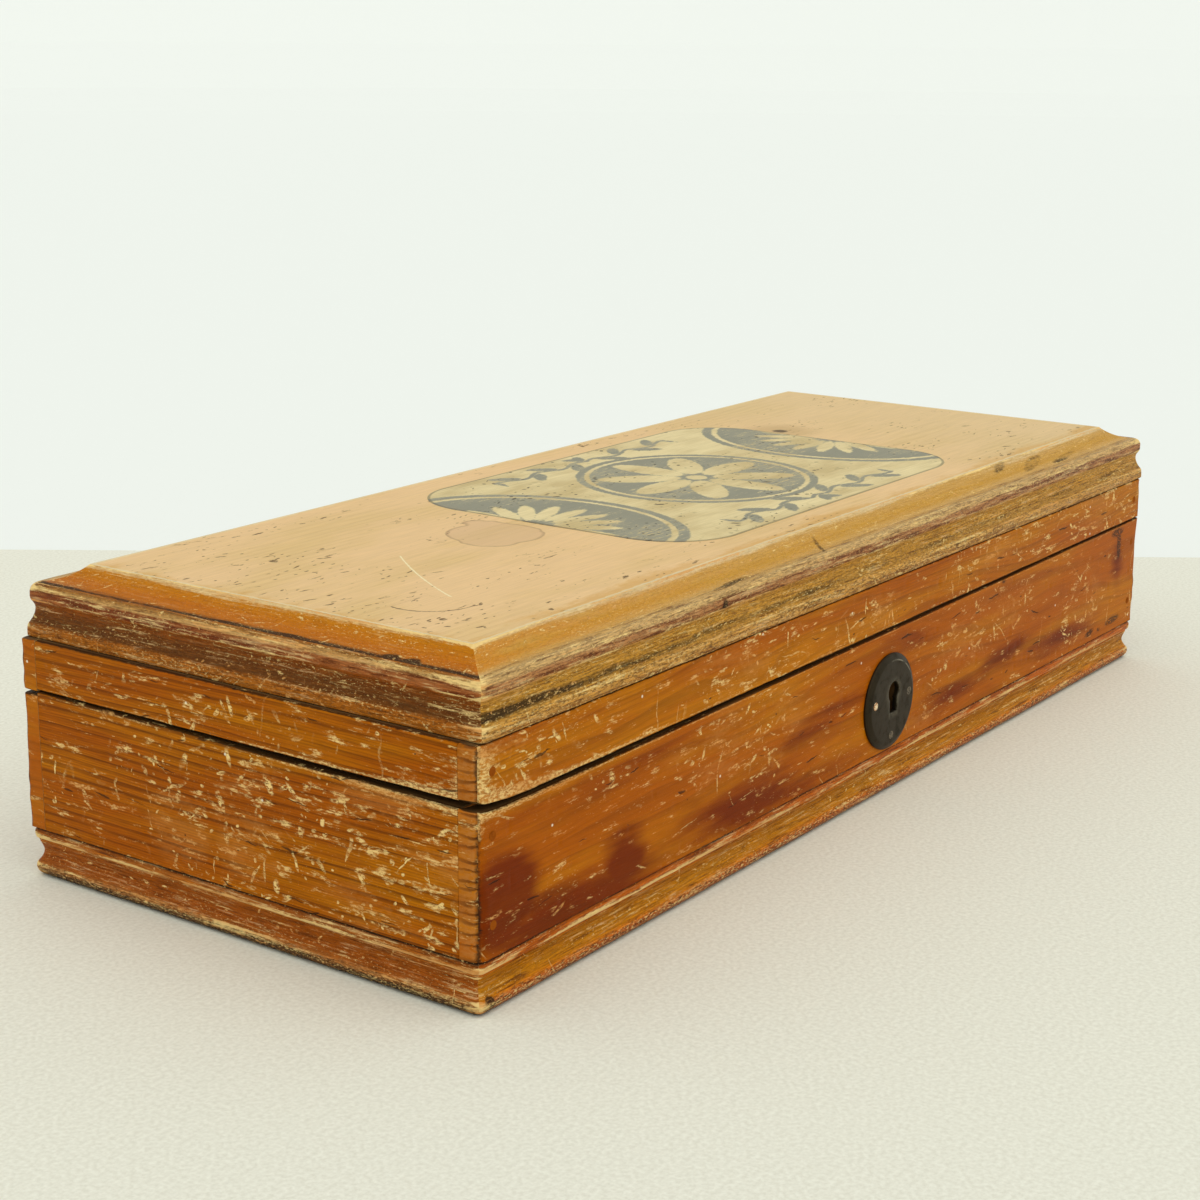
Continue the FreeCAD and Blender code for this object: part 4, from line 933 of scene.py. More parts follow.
class PINEBOX_OT_case_boards(bpy.types.Operator):
    """Front, back and end boards of the case"""

    bl_idname = "pinebox.case_boards"
    bl_label = "Case boards"

    def execute(self, context):
        wear, colours = context.scene.pinebox_wear, context.scene.pinebox_colours
        flowing = shellacked("shellacked_front_pine", colours, flow=34.0, pitch=5.2, line=0.26,
                             scuffs=0.4, lean=0.4, thick=0.58, fibrous=0.3)
        straight = shellacked("shellacked_end_pine", colours, flow=5.0, pitch=1.7, line=0.66,
                              scuffs=0.9, lean=1.2, thick=0.56, fibrous=0.5)
        inner = bare_pine("bare_inner_pine", colours)
        laps = rebates("case")
        # Painted shade: near-black pine on the edges where case and lid meet and in the keyway, so that
        # the gap and the keyhole read dark
        dark = bare_pine("painted_shade_pine", colours, light=0.22)
        low, high = lock_cuts()[-1]
        keyway = (low - (0.1, 0.5, 0.1), high + (0.1, 9.0, 0.1))
        worn_board("front_board", "worn_front_board", "case", [flowing, inner, dark], wear, step=0.62,
                   seed=1, cuts=laps + lock_cuts(), stains=FRONT_STAINS, rubs=FRONT_RUBS,
                   smudges=FRONT_SMUDGES, holes=[keyway], lean=CASE_LEANS["front"])
        worn_board("back_board", "worn_back_board", "case", [flowing, inner, dark], wear, step=0.8,
                   seed=2, cuts=laps + gains("case"), stains=BACK_STAINS, rubs=BACK_RUBS)
        for seed, side in ((3, "left"), (4, "right")):
            worn_board(f"{side}_end_board", f"worn_{side}_end_board", "case", [straight, inner, dark],
                       wear, step=0.6, seed=seed, rubs=END_RUBS, smudges=END_SMUDGES,
                       lean=CASE_LEANS[side])
        return {"FINISHED"}


class PINEBOX_OT_lid_rails(bpy.types.Operator):
    """The four rails under the lid's top board"""

    bl_idname = "pinebox.lid_rails"
    bl_label = "Lid rails"

    def execute(self, context):
        wear, colours = context.scene.pinebox_wear, context.scene.pinebox_colours
        flowing = shellacked("shellacked_long_rail", colours, flow=26.0, pitch=4.2, line=0.26,
                             scuffs=0.66, lean=0.4, thick=0.5, fibrous=0.38)
        straight = shellacked("shellacked_end_rail", colours, flow=6.0, pitch=2.0, line=0.55,
                              scuffs=0.86, lean=1.2, thick=0.54, fibrous=0.5)
        # The rails' meeting edges take the same painted shade as the case's
        inner, dark = bpy.data.materials["bare_inner_pine"], bpy.data.materials["painted_shade_pine"]
        laps = rebates("lid")
        worn_board("lid_front_rail", "worn_lid_front_rail", "lid", [flowing, inner, dark], wear,
                   step=0.62, seed=5, cuts=laps + [strike_cut()], rubs=RAIL_RUBS,
                   lean=LID_LEANS["front"])
        worn_board("lid_back_rail", "worn_lid_back_rail", "lid", [flowing, inner, dark], wear,
                   step=0.8, seed=6, cuts=laps + gains("lid"))
        for seed, side in ((7, "left"), (8, "right")):
            worn_board(f"lid_{side}_rail", f"worn_lid_{side}_rail", "lid", [straight, inner, dark],
                       wear, step=0.6, seed=seed, lean=LID_LEANS[side])
        return {"FINISHED"}


def arc(middle, start, turn, count):
    """Points of an arc about a middle, from a start through a turn in radians."""
    angles = np.linspace(0, turn, count)
    away = np.array(start) - middle
    right = away[0] * np.cos(angles) - away[1] * np.sin(angles)
    rise = away[0] * np.sin(angles) + away[1] * np.cos(angles)
    return np.stack([right, rise], axis=1) + middle


def hollow(inset, low, height, depth, peak, count):
    """Points of a hollow between two corners at one inset: a sine to its deepest, then a cosine."""
    share = np.linspace(0, 1, count)
    rising = np.sin(math.pi / 2 * np.minimum(share / peak, 1))
    falling = np.cos(math.pi / 2 * np.clip((share - peak) / (1 - peak), 0, 1))
    return np.stack([inset + depth * np.minimum(rising, falling), low + height * share], axis=1)


def top_profile():
    """Inset and height round the top board: edge, rounding, hollow, fillet, nose and cove."""
    cove_width, cove_rise = 7.4, 3.2
    cove_radius = (cove_width ** 2 + cove_rise ** 2) / (2 * cove_rise)
    cove_turn = math.atan2(cove_width, cove_radius - cove_rise)
    return [
        np.array([(0.2, 0.0), (0.0, 0.16)]),
        np.array([(0.0, 0.16), (0.0, 2.3)]),
        arc(np.array([0.6, 2.3]), (0.0, 2.3), -math.pi / 2, 9),
        hollow(0.6, 2.9, 4.6, 0.95, 0.7, 25),
        np.array([(0.6, 7.5), (0.6, 9.5)]),
        arc(np.array([2.1, 9.5]), (0.6, 9.5), -math.pi / 2, 13),
        arc(np.array([2.1, 11.0 + cove_radius]), (2.1, 11.0), cove_turn, 33),
    ]


def base_profile():
    """Inset and height round the base board: foot, bead, hollow and block."""
    return [
        arc(np.array([2.0, 2.0]), (2.0, 0.0), -math.pi / 2, 13),
        np.array([(0.0, 2.0), (0.0, 2.6)]),
        arc(np.array([0.6, 2.6]), (0.0, 2.6), -math.pi / 2, 9),
        hollow(0.6, 3.2, 4.3, 0.9, 0.5, 25),
        arc(np.array([0.6, 8.1]), (0.6, 7.5), math.pi / 2, 9),
        np.array([(0.0, 8.1), (0.0, 9.7)]),
        np.array([(0.0, 9.7), (0.6, 10.5)]),
    ]


def blurred(line, reach):
    """A line of evenly spaced points blurred along its own length by a Gaussian, its ends held."""
    count = len(line)
    spread = np.exp(-0.5 * ((np.arange(count)[:, None] - np.arange(count)) / reach) ** 2)
    spread /= spread.sum(axis=1, keepdims=True)
    hold = smooth(np.minimum(np.arange(count), count - 1 - np.arange(count)) / (1.5 * reach))[:, None]
    return line + hold * (spread @ line - line)


def worn_profile(elements, count):
    """A profile, denser at its bends: points, rubbed points, bands from 0 to 1, lengths, convexity."""
    dense, bands = [], []
    for number, element in enumerate(elements):
        lengths = np.concatenate([[0], np.cumsum(np.linalg.norm(np.diff(element, axis=0), axis=1))])
        places = np.arange(0, lengths[-1], 0.03)
        dense.append(np.stack([np.interp(places, lengths, element[:, k]) for k in (0, 1)], axis=1))
        bands.append((number + places / lengths[-1]) / len(elements))
    dense.append(elements[-1][-1:])
    bands.append(np.array([1.0]))
    dense, bands = np.concatenate(dense), np.concatenate(bands)
    crisp, soft = blurred(dense, 5), blurred(dense, 26)
    lengths = np.concatenate([[0], np.cumsum(np.linalg.norm(np.diff(crisp, axis=0), axis=1))])
    bend = np.linalg.norm(np.gradient(np.gradient(crisp, axis=0), axis=0), axis=1)
    density = np.cumsum(0.35 + np.minimum(bend / bend.mean(), 3.0))
    pick = np.interp(np.linspace(density[0], density[-1], count), density, np.arange(len(dense)))
    pick = np.unique(np.round(pick).astype(int))
    convex = (soft - crisp)[:, 0]
    return crisp[pick], soft[pick], bands[pick], lengths[pick], convex[pick]


def side_lines(half, step):
    """Places from -1 to 1 along a side, even in the middle and finer at both corners."""
    near = np.array([0, 0.15, 0.35, 0.6, 1.0, 1.5, 2.2])
    even = np.linspace(-half + 3.2, half - 3.2, max(2, round((2 * half - 6.4) / step)) + 1)
    return np.concatenate([-half + near, even, half - near[::-1]]) / half


def moulded_board(node, elements, wear, step, count, seed):
    """A profile carried round a board's rectangle, mitred, with its corners and arrises rubbed down."""
    low, high = cad_box(node)
    middle, half = (low + high) / 2, (high - low) / 2
    crisp, soft, bands, lengths, convex = worn_profile(elements, count)
    spread = [side_lines(half[0], step), side_lines(half[1], step)]
    sides, points, quads, picks, start = [], [], [], [], 0
    marks = {"lay": [], "band": [], "wear": []}
    shift = seed * 100.0
    # Front, right, back and left: the direction along the side, the one out of it and its sign
    for number, (along, out, sign) in enumerate(((0, 1, -1), (1, 0, 1), (0, 1, 1), (1, 0, -1))):
        ways = spread[along] if number < 2 else spread[along][::-1]
        way = np.repeat(ways[:, None], len(crisp), axis=1)
        spot = np.zeros((*way.shape, 3))
        spot[..., along] = way * half[along]
        spot[..., out] = sign * half[out]
        spot[..., 2] = crisp[:, 1]
        spot += shift
        rub = wear.rub * (1 + 1.1 * noise(spot, 16.0, 11) + 0.7 * noise(spot, 4.0, 12))
        near_end = (1 - np.abs(way)) * half[along]
        rub = np.maximum(np.clip(rub, 0.05, 1.25), 0.95 * np.exp(-near_end / 2.5))
        line = crisp + rub[..., None] * (soft - crisp)
        chip = np.clip(noise(spot, 3.0, 13) - 0.45, 0, 1) * np.clip(convex * 6, 0, 1) * 0.9
        line[..., 0] += chip * wear.rub + 0.05 * (1 + noise(spot, np.array([30.0, 30.0, 5.0]), 14))
        place = np.zeros_like(spot)
        place[..., along] = way * (half[along] - line[..., 0])
        place[..., out] = sign * (half[out] - line[..., 0])
        place[..., 2] = low[2] + line[..., 1]
        radius = (0.25 + wear.corner * np.clip(1 - crisp[:, 0] / 6, 0, 1))[None, :, None]
        limit = half[:2] - line[..., :1] - radius
        held = np.clip(place[..., :2], -limit, limit)
        away = place[..., :2] - held
        reach = np.linalg.norm(away, axis=-1, keepdims=True)
        place[..., :2] = held + away * np.minimum(1, radius / np.maximum(reach, 1e-9)) + middle[:2]
        index = np.arange(way.size).reshape(way.shape) + start
        quad = grid_quads(index)
        start += way.size
        sides.append(index)
        quads.append(quad)
        picks.append(np.full(len(quad), number % 2))
        points.append(place.reshape(-1, 3))
        lay = np.stack([way * half[along], np.broadcast_to(lengths, way.shape),
                        np.full(way.shape, 40.0 * number)], axis=-1)
        marks["lay"].append(lay.reshape(-1, 3) + shift)
        marks["band"].append(np.broadcast_to(bands, way.shape).ravel())
        worn = np.clip(convex * 3.2, 0, 0.8) * (0.5 + 0.8 * rub) + 0.5 * np.exp(-near_end / 3.0)
        marks["wear"].append(worn.ravel())
    marks = {key: np.concatenate(values) for key, values in marks.items()}
    return {"points": np.concatenate(points), "marks": marks, "quads": quads, "sides": sides,
            "middle": middle, "half": half, "high": high, "spread": spread,
            "picks": np.concatenate(picks)}


def short_sides(made):
    """Whether a point of a moulded board lies on its left or right side."""
    chosen = np.zeros(len(made["points"]), dtype=bool)
    chosen[made["sides"][1].ravel()] = True
    chosen[made["sides"][3].ravel()] = True
    return chosen


def closing_strips(sides, column, flip):
    """Long strips between the front and back edges: the first and last take in the short edges."""
    front, right, back, left = [index[:, column] for index in sides]
    back = back[::-1]
    strips = np.stack([front[1:-2], front[2:-1], back[2:-1], back[1:-2]], axis=1)
    first = np.concatenate([[front[0], front[1], back[1]], left[:-1]])
    last = np.concatenate([[front[-2]], right, [back[-2]]])
    groups = [strips, first[None], last[None]]
    if flip:
        groups = [group[:, ::-1] for group in groups]
    return groups


def grain_places(lay, points, shaped, flat):
    """The grain's place at each face corner: as marked on shaped faces, else the point itself."""
    parts = [lay[np.asarray(group).ravel()] for group in shaped]
    parts += [points[np.asarray(group).ravel()] for group in flat]
    return np.concatenate(parts)


class PINEBOX_OT_base_board(bpy.types.Operator):
    """The moulded base board that the walls stand on"""

    bl_idname = "pinebox.base_board"
    bl_label = "Base board"

    def execute(self, context):
        wear, colours = context.scene.pinebox_wear, context.scene.pinebox_colours
        long_finish = moulded("moulded_base_long", colours, BASE_LONG, lines=0.8, calm_from=2.0)
        short_finish = moulded("moulded_base_short", colours, BASE_SHORT, lines=0.9, calm_from=2.0)
        inner = bpy.data.materials["bare_inner_pine"]
        made = moulded_board("base_board", base_profile(), wear, step=1.0, count=52, seed=1)
        points, marks = made["points"], made["marks"]
        band = marks["band"]
        marks["grime"] = 0.85 * bell(band, 1.0, 0.09) + 0.3 * bell(band, 0.05, 0.08)
        marks["grime"] += 0.45 * bell(band, 0.56, 0.03)
        marks["streak"] = 0.45 * ((band > 0.6) & (band < 0.96))
        short = short_sides(made)
        marks["wear"] += np.where(short, 0.16, 0.14) * bell(band, 0.2, 0.16, 4)
        marks["wear"] += 0.22 * bell(band, 0.72, 0.12, 4)
        marks["grime"] += np.where(short, 0.5, 0.16) * bell(band, 0.12, 0.2, 4)
        marks["grime"] += 2.5 * blob(points, (-142.0, -58.0, 2.2), 1.2)
        marks["grit"] = np.where(short, 0.9, 1.0) * bell(band, 0.19, 0.17, 4)
        points[:, 2] = np.maximum(points[:, 2], 0.05)
        under = closing_strips(made["sides"], 0, True)
        over = closing_strips(made["sides"], -1, False)
        marks["lay"] = grain_places(marks["lay"], points, made["quads"], under + over)
        picks = np.concatenate([made["picks"], np.full(sum(map(len, under + over)), 2)])
        make_piece("worn_base_board", points, made["quads"] + under + over, marks,
                   [long_finish, short_finish, inner], picks, "case", ["base_board"])
        return {"FINISHED"}


def top_marks(made):
    """Adds the marks of the top board's moulding by band and side: dirt, streaks, grit, gold, wear."""
    points, marks, band = made["points"], made["marks"], made["marks"]["band"]
    short = short_sides(made)
    near = np.where(short, 0.0, 0.5 * np.exp(-(points[:, 0] - NEAR_CORNER[0]) / 50))
    marks["grime"] = 0.6 * bell(band, 0.0, 0.15, 4)
    marks["grime"] += np.where(short, 0.84, 0.45) * bell(band, 0.858, np.where(short, 0.022, 0.012))
    marks["grime"] += (np.where(short, 0.3, 0.5) + near) * bell(band, 0.46, 0.035)
    marks["grime"] += np.where(short, 0.2, 0.4) * bell(band, 0.28, 0.11, 4)
    marks["grime"] += 1.6 * blob(points, (-65.9, -58.0, 59.1), 1.0)
    marks["grime"] += 0.6 * smooth(spots(points[:, 0], points[:, 1], COVE_SMEARS) + 0.6) * (band > 0.86)
    edge, fillet = (band > 0.15) & (band < 0.24), (band > 0.57) & (band < 0.73)
    marks["streak"] = fillet + np.where(short, 0.15, 0.6) * edge
    grit = 0.75 * bell(band, 0.28, 0.12, 4) + 0.5 * bell(band, 0.77, 0.06)
    marks["grit"] = np.maximum(grit * np.where(short, 0.75, 1),
                               np.where(short, 0.1, 0.4) * (band < 0.85))
    corner = np.hypot(*(points - made["middle"] + made["half"])[:, :2].T)
    gold = 0.75 * np.exp(-corner / 60) * smooth((band - 0.87) / 0.04)
    marks["gold"] = gold * smooth((1 - band) / 0.02) * ~short
    marks["wear"] += 0.8 * bell(band, 1.0, 0.016) + 0.3 * bell(band, 0.75, 0.05)
    marks["wear"] += np.where(short, 0.15, 0.4) * bell(band, 0.571, 0.012)
    marks["wear"] += np.where(short, 0.15, 0.3) * bell(band, 0.32, 0.06)


def field_surface(made):
    """The lid's flat field, a little dished and dented: points, the grid of their numbers, marks."""
    count = len(made["points"])
    half = made["half"][:2] - FIELD_INSET
    across, up = np.meshgrid(made["spread"][0] * half[0], made["spread"][1] * half[1], indexing="ij")
    grid = np.arange(across.size).reshape(across.shape) + count
    across, up = across.ravel(), up.ravel()
    rim = np.minimum(half[0] - np.abs(across), half[1] - np.abs(up))
    spot = np.stack([across, up, np.zeros_like(across)], axis=-1)
    dish = 0.14 + 0.06 * noise(spot, np.array([60.0, 14.0, 9.0]), 31)
    dish += pits(across, up, ((-135, 135), (-48, 48)), 160, (0.8, 2.2), 33) * 0.12
    level = made["high"][2] - dish * smooth(rim / 3.0)
    points = np.stack([across + made["middle"][0], up + made["middle"][1], level], axis=1)
    front, right, back, left = [index[:, -1] for index in made["sides"]]
    edges = ((front, grid[:, 0]), (right, grid[-1]), (back[::-1], grid[:, -1]), (left[::-1], grid[0]))
    for ring, own in edges:
        points[own - count] = made["points"][ring]
    x, y = points[:, 0], points[:, 1]
    marks = {
        "lay": points,
        "band": np.ones(len(x)),
        "wear": 0.75 * np.exp(-np.minimum(x + 135.5, y + 49) / 5.0),
        "grime": 0.8 * np.exp(-np.maximum(rim, 0) / 1.6),
        "border": np.exp(-np.maximum(rim, 0) / 1.1),
        "damp": spots(x, y, FIELD_DAMP),
        "scuff": 0.2 * smooth(spots(x, y, FIELD_FLECKS) / 4 + 0.5),
        "knot": np.minimum(np.hypot(x - 79.0, y - 17.0), FAR),
        "light_scratch": curve_reach(x, y, (29.4, -97.2), 157.7, (-91, -111)),
        "dark_scratch": curve_reach(x, y, (-114.0, -23.0), 9.3, (-124, -112)) + FAR * (y > -20),
    }
    marks |= {key: np.zeros(len(x)) for key in ("streak", "grit", "gold")}
    return points, grid, marks


class PINEBOX_OT_lid_top(bpy.types.Operator):
    """The moulded top board of the lid with its worn field"""

    bl_idname = "pinebox.lid_top"
    bl_label = "Lid top"

    def execute(self, context):
        wear, colours = context.scene.pinebox_wear, context.scene.pinebox_colours
        long_finish = moulded("moulded_top_long", colours, TOP_LONG, lines=0.7, calm_from=0.87)
        short_finish = moulded("moulded_top_short", colours, TOP_SHORT, lines=0.7, calm_from=0.87)
        field = worn_field("worn_field_pine", colours)
        inner = bpy.data.materials["bare_inner_pine"]
        made = moulded_board("lid_top_board", top_profile(), wear, step=1.0, count=60, seed=2)
        top_marks(made)
        field_points, grid, field_marks = field_surface(made)
        marks = {}
        for key, values in field_marks.items():
            blank = np.full(len(made["points"]), FIELD_BLANKS.get(key, 0.0))
            marks[key] = np.concatenate([made["marks"].get(key, blank), values])
        quads = grid_quads(grid)
        under = closing_strips(made["sides"], 0, True)
        picks = np.concatenate([made["picks"], np.full(len(quads), 2),
                                np.full(sum(map(len, under)), 3)])
        points = np.concatenate([made["points"], field_points])
        marks["lay"] = grain_places(marks["lay"], points, made["quads"], [quads] + under)
        make_piece("worn_lid_top", points, made["quads"] + [quads] + under, marks,
                   [long_finish, short_finish, field, inner], picks, "lid",
                   ["lid_top_board"])
        return {"FINISHED"}


def curve_reach(across, up, middle, radius, span):
    """Signed distance in mm to an arc about a middle, between two places across; far past its ends."""
    far = np.clip(np.hypot(across - middle[0], up - middle[1]) - radius, -FAR, FAR)
    return np.where((across > min(span)) & (across < max(span)), far, FAR)


class PINEBOX_OT_lid_panel(bpy.types.Operator):
    """The thin painted panel on the field of the lid"""

    bl_idname = "pinebox.lid_panel"
    bl_label = "Lid panel"

    def execute(self, context):
        panel, colours = context.scene.pinebox_panel, context.scene.pinebox_colours
        across, up = np.meshgrid(np.linspace(-1, 1, 200), np.linspace(-1, 1, 140), indexing="ij")
        half = np.array([panel.half_length, panel.half_width])
        flat = np.stack([across, up], axis=-1).reshape(-1, 2) * half
        held = np.clip(flat, panel.corner - half, half - panel.corner)
        away = flat - held
        # Each corner's square becomes a quarter disc
        reach = np.abs(away).max(axis=1) / np.maximum(np.linalg.norm(away, axis=1), 1e-9)
        right, rise = (held + away * reach[:, None]).T
        past = np.abs(np.stack([right, rise], axis=1)) - half + panel.corner
        beyond = np.linalg.norm(np.maximum(past, 0), axis=1)
        rim = panel.corner - beyond - np.minimum(past.max(axis=1), 0)
        high = cad_box("lid_top_board")[1][2]
        thick, sunk = PANEL_DEPTHS
        top = high - sunk - 0.05 * np.exp(-rim / 0.8)
        x, y = right + panel.centre_x, rise + panel.centre_y
        count = x.size
        points = np.concatenate([np.stack([x, y, top], axis=1),
                                 np.stack([x, y, np.full(count, high - thick)], axis=1)])
        grid = np.arange(count).reshape(across.shape)
        quads = grid_quads(grid)
        ring = np.concatenate([grid[:, 0], grid[-1, 1:], grid[-2::-1, -1], grid[0, -2:0:-1]])
        after = np.roll(ring, -1)
        wall = np.stack([ring, ring + count, after + count, after], axis=1)
        marks = {
            "lay": points,
            "rim": np.tile(rim, 2),
            "ornament": np.tile(ornament(right, rise), 2),
            "scuff": np.tile(0.2 * smooth(spots(right, rise, PANEL_FLECKS) / 3 + 0.5), 2),
        }
        finish = painted_panel("painted_panel", colours)
        polygons = [quads, quads[:, ::-1] + count, wall]
        make_piece("lid_panel", points, polygons, marks, [finish], np.zeros(2 * len(quads) + len(wall)),
                   "lid", [])
        return {"FINISHED"}


def petals(across, up, number, middle, half_long, half_wide):
    """Reach into a ring of elliptic petals about the origin: the angle is folded into one share."""
    share = 2 * math.pi / number
    angle = np.mod(np.arctan2(up, across) + share / 2, share) - share / 2
    far = np.hypot(across, up)
    ahead, aside = far * np.cos(angle), far * np.sin(angle)
    return (1 - np.hypot((ahead - middle) / half_long, aside / half_wide)) * half_wide


def ornament(across, up):
    """Reach in mm into slate: a roundel with a pale rosette, end fields with pale fans, leaf sprays."""
    far = np.hypot(across, up)
    rosette = np.maximum(petals(across, up, 8, 14.0, 10.0, 4.0), 2.6 - far)
    medal = np.minimum(29.0 - far, -np.maximum(rosette, 0.6 - np.abs(far - 26.4)))
    side = np.abs(across)
    end_x = side - 66.0
    end_far = np.hypot(end_x, up * 0.82)
    fan = np.maximum(petals(end_x, up, 18, 13.0, 7.5, 1.9), 3.0 - np.hypot(end_x, up))
    ends = np.minimum(30.0 - end_far, -np.maximum(fan, 0.6 - np.abs(end_far - 27.2)))
    height = np.abs(up)
    level, pitch = 32.5, 7.48
    stem = 0.6 - np.abs(height - level - 1.2 * np.sin(side * 0.42))
    fold = np.mod(side + pitch / 2, pitch) - pitch / 2
    turn = np.where(np.mod(np.floor((side + pitch / 2) / pitch), 2) < 1, 1.0, -1.0)
    rise = height - level - turn * 2.6
    leaf = (1 - np.hypot((fold * 0.75 + rise * turn * 0.66) / 4.2,
                         (rise * 0.75 - fold * turn * 0.66) / 1.6)) * 1.6
    spray = np.minimum(np.maximum(stem, leaf), 36.0 - side)
    return np.maximum(np.maximum(medal, ends), spray)


def painted_panel(name, colours):
    """Old paint: slate ornament on a cream ground inside thin dark lines, worn through in specks."""
    f = Finish(name, Specular_IOR_Level=0.12)
    place = f.lay()
    fine = f.cloud(place, (1.6, 0.7, 0.7), 4.0, 0.7)
    patch = f.cloud(place, (26.0, 12.0, 12.0), 3.0)
    fibre = f.cloud(place, (12.0, 0.4, 0.4), 5.0, 0.65)
    ragged = f.math("MULTIPLY_ADD", fine, 1.6, -0.8)
    ground = f.over(colours.cream, tint(208, 184, 132), f.step(patch, 0.35, 0.7))
    ground = f.darkened(ground, 0.36, fibre, (160, 150, 134), (255, 252, 246))
    inside = f.step(f.math("ADD", f.mark("ornament"), ragged), -0.2, 0.25)
    worn = f.step(f.total((fibre, 0.7), (fine, 0.6), (patch, 0.5)), 1.1, 0.96)
    ink = f.times(inside, worn)
    deep = f.over(colours.slate, tint(140, 138, 122), f.step(patch, 0.4, 0.65))
    base = f.over(ground, deep, ink, 0.88)
    rim = f.mark("rim")
    line = f.step(f.math("ABSOLUTE", f.math("SUBTRACT", rim, 0.3)), 0.5, 0.2)
    base = f.over(base, tint(96, 84, 58), line, 0.55)
    group = f.math("ADD", f.cloud(place, (24.0, 11.0, 12.0), 2.0), f.mark("scuff"))
    flecks = f.scratches(
        place,
        ((0, 0), 2.5, 0.8, 0.38, 0.2, 2.0, 0.3),
        ((27.3, 9.1), 6.0, 1.5, 0.5, 0.5, 2.4, 0.4))
    flecks = f.times(flecks, f.step(group, 0.48, 0.62))
    base = f.over(base, tint(66, 54, 36), flecks, 0.85)
    roughness = f.math("ADD", f.total((fine, 0.15), (ink, -0.06)), 0.5)
    height = f.total((fibre, 0.35), (flecks, -0.6), (ink, 0.15))
    return f.finish(base, roughness, height, 0.12)


class PINEBOX_OT_escutcheon(bpy.types.Operator):
    """The round iron plate about the keyhole"""

    bl_idname = "pinebox.escutcheon"
    bl_label = "Escutcheon"

    def execute(self, context):
        low, high = cad_box("escutcheon")
        post_low, post_high = cad_box("lock_key_post")
        key = (post_low + post_high) / 2 + (0.0, 0.0, 1.0)
        middle = (low + high) / 2
        radius = (high[0] - low[0]) / 2
        thick = high[1] - low[1]
        slot, hole, drop = 1.7, 2.45, 4.8
        bottom = math.atan2(-drop, slot)
        shoulder = math.atan2(-math.sqrt(hole ** 2 - slot ** 2), slot)
        exact = [bottom, math.pi - bottom - 2 * math.pi, shoulder, -math.pi - shoulder]
        even = np.linspace(-math.pi, math.pi, 181)[:-1]
        angles = np.unique(np.round(np.concatenate([even, exact]), 6))
        right, rise = np.cos(angles), np.sin(angles)
        side = slot / np.maximum(np.abs(right), 1e-6)
        down = np.where(rise < 0, drop / np.maximum(-rise, 1e-6), 0)
        inner = np.maximum(hole, np.where(rise < 0, np.minimum(side, down), 0))
        to_x, to_z = key[0] - middle[0], key[2] - middle[2]
        along = to_x * right + to_z * rise
        outer = -along + np.sqrt(along ** 2 - (to_x ** 2 + to_z ** 2 - radius ** 2))
        # Section: share from the keyhole to the rim, mm added to it, and depth behind the front
        section = np.array([(0, 0.0, thick), (0, 0.0, 0.5), (0, 0.0, 0.16), (0, 0.06, 0.05),
                            (0, 0.2, 0.01), (0, 0.6, 0.0), (0.2, 0.0, 0.0), (0.4, 0.0, 0.0),
                            (0.6, 0.0, 0.0), (1, -1.75, 0.0), (1, -1.5, 0.02), (1, -1.3, 0.08),
                            (1, -0.5, 0.42), (1, -0.25, 0.56), (1, -0.08, 0.7), (1, 0.0, 0.86),
                            (1, 0.0, 1.0), (1, -0.03, thick), (0.5, 0.0, thick)])
        reach = inner[:, None] + section[:, 0] * (outer - inner)[:, None] + section[:, 1]
        x = key[0] + reach * right[:, None]
        z = key[2] + reach * rise[:, None]
        bump = noise(np.stack([x, np.zeros_like(x), z], axis=-1), 3.5, 41) * 0.03
        front = section[:, 2] < 0.9
        y = low[1] + section[:, 2] + np.where(front, np.abs(bump), 0.0)
        points = np.stack([x, y, z], axis=-1).reshape(-1, 3)
        rows, columns = x.shape
        index = np.arange(rows * columns).reshape(rows, columns)
        turn, across = np.roll(index, -1, axis=0), np.roll(index, -1, axis=1)
        both = np.roll(turn, -1, axis=1)
        quads = np.stack([index, turn, both, across], axis=-1).reshape(-1, 4)
        finish = bpy.data.materials["dark_iron_plate"]
        # Painted highlight: a bright line along the rim's bevel towards the upper right, and a fainter
        # one round the keyhole's edge
        upper = np.clip(np.cos(angles - 0.9), 0, 1) ** 3
        glint = 0.7 * upper[:, None] * bell(section[:, 1], -1.5, 0.1) * (section[:, 0] == 1)
        glint += 0.35 * bell(section[:, 2], 0.1, 0.1) * (section[:, 0] == 0)
        make_piece("worn_escutcheon", points, [quads], {"glint": glint.ravel()}, [finish],
                   np.zeros(len(quads)), "case", ["escutcheon"])
        return {"FINISHED"}


class PINEBOX_OT_metalwork(bpy.types.Operator):
    """Finishes of the hinges, the lock, the brads, the nails and the pins"""

    bl_idname = "pinebox.metalwork"
    bl_label = "Metalwork"

    def execute(self, context):
        colours = context.scene.pinebox_colours
        metal("dark_iron_plate", colours.iron, 0.5, 0.3, tint(48, 40, 30))
        iron = metal("wire_iron", tint(158, 80, 8), 0.5, 0.5, tint(124, 60, 8), shine=0.0, sheen=0.05)
        pin = pin_iron("pin_iron")
        brass = metal("old_brass", colours.brass, 0.6, 0.28, tint(84, 62, 32))
        lock = metal("lock_brass", tint(158, 120, 62), 0.55, 0.28, tint(92, 68, 36))
        steel = metal("lock_steel", colours.steel, 0.6, 0.3, tint(84, 58, 38))
        finishes = {"wire_iron": iron, "hinge_brass": brass, "lock_brass": lock, "lock_steel": steel}
        for part in frame["record"]["subparts"]:
            if part["material_slot"] in finishes:
                mesh = frame["nodes"][part["node"]].data
                mesh.materials.clear()
                finish = finishes[part["material_slot"]]
                mesh.materials.append(pin if part["node"] == "escutcheon_pins" else finish)
        return {"FINISHED"}


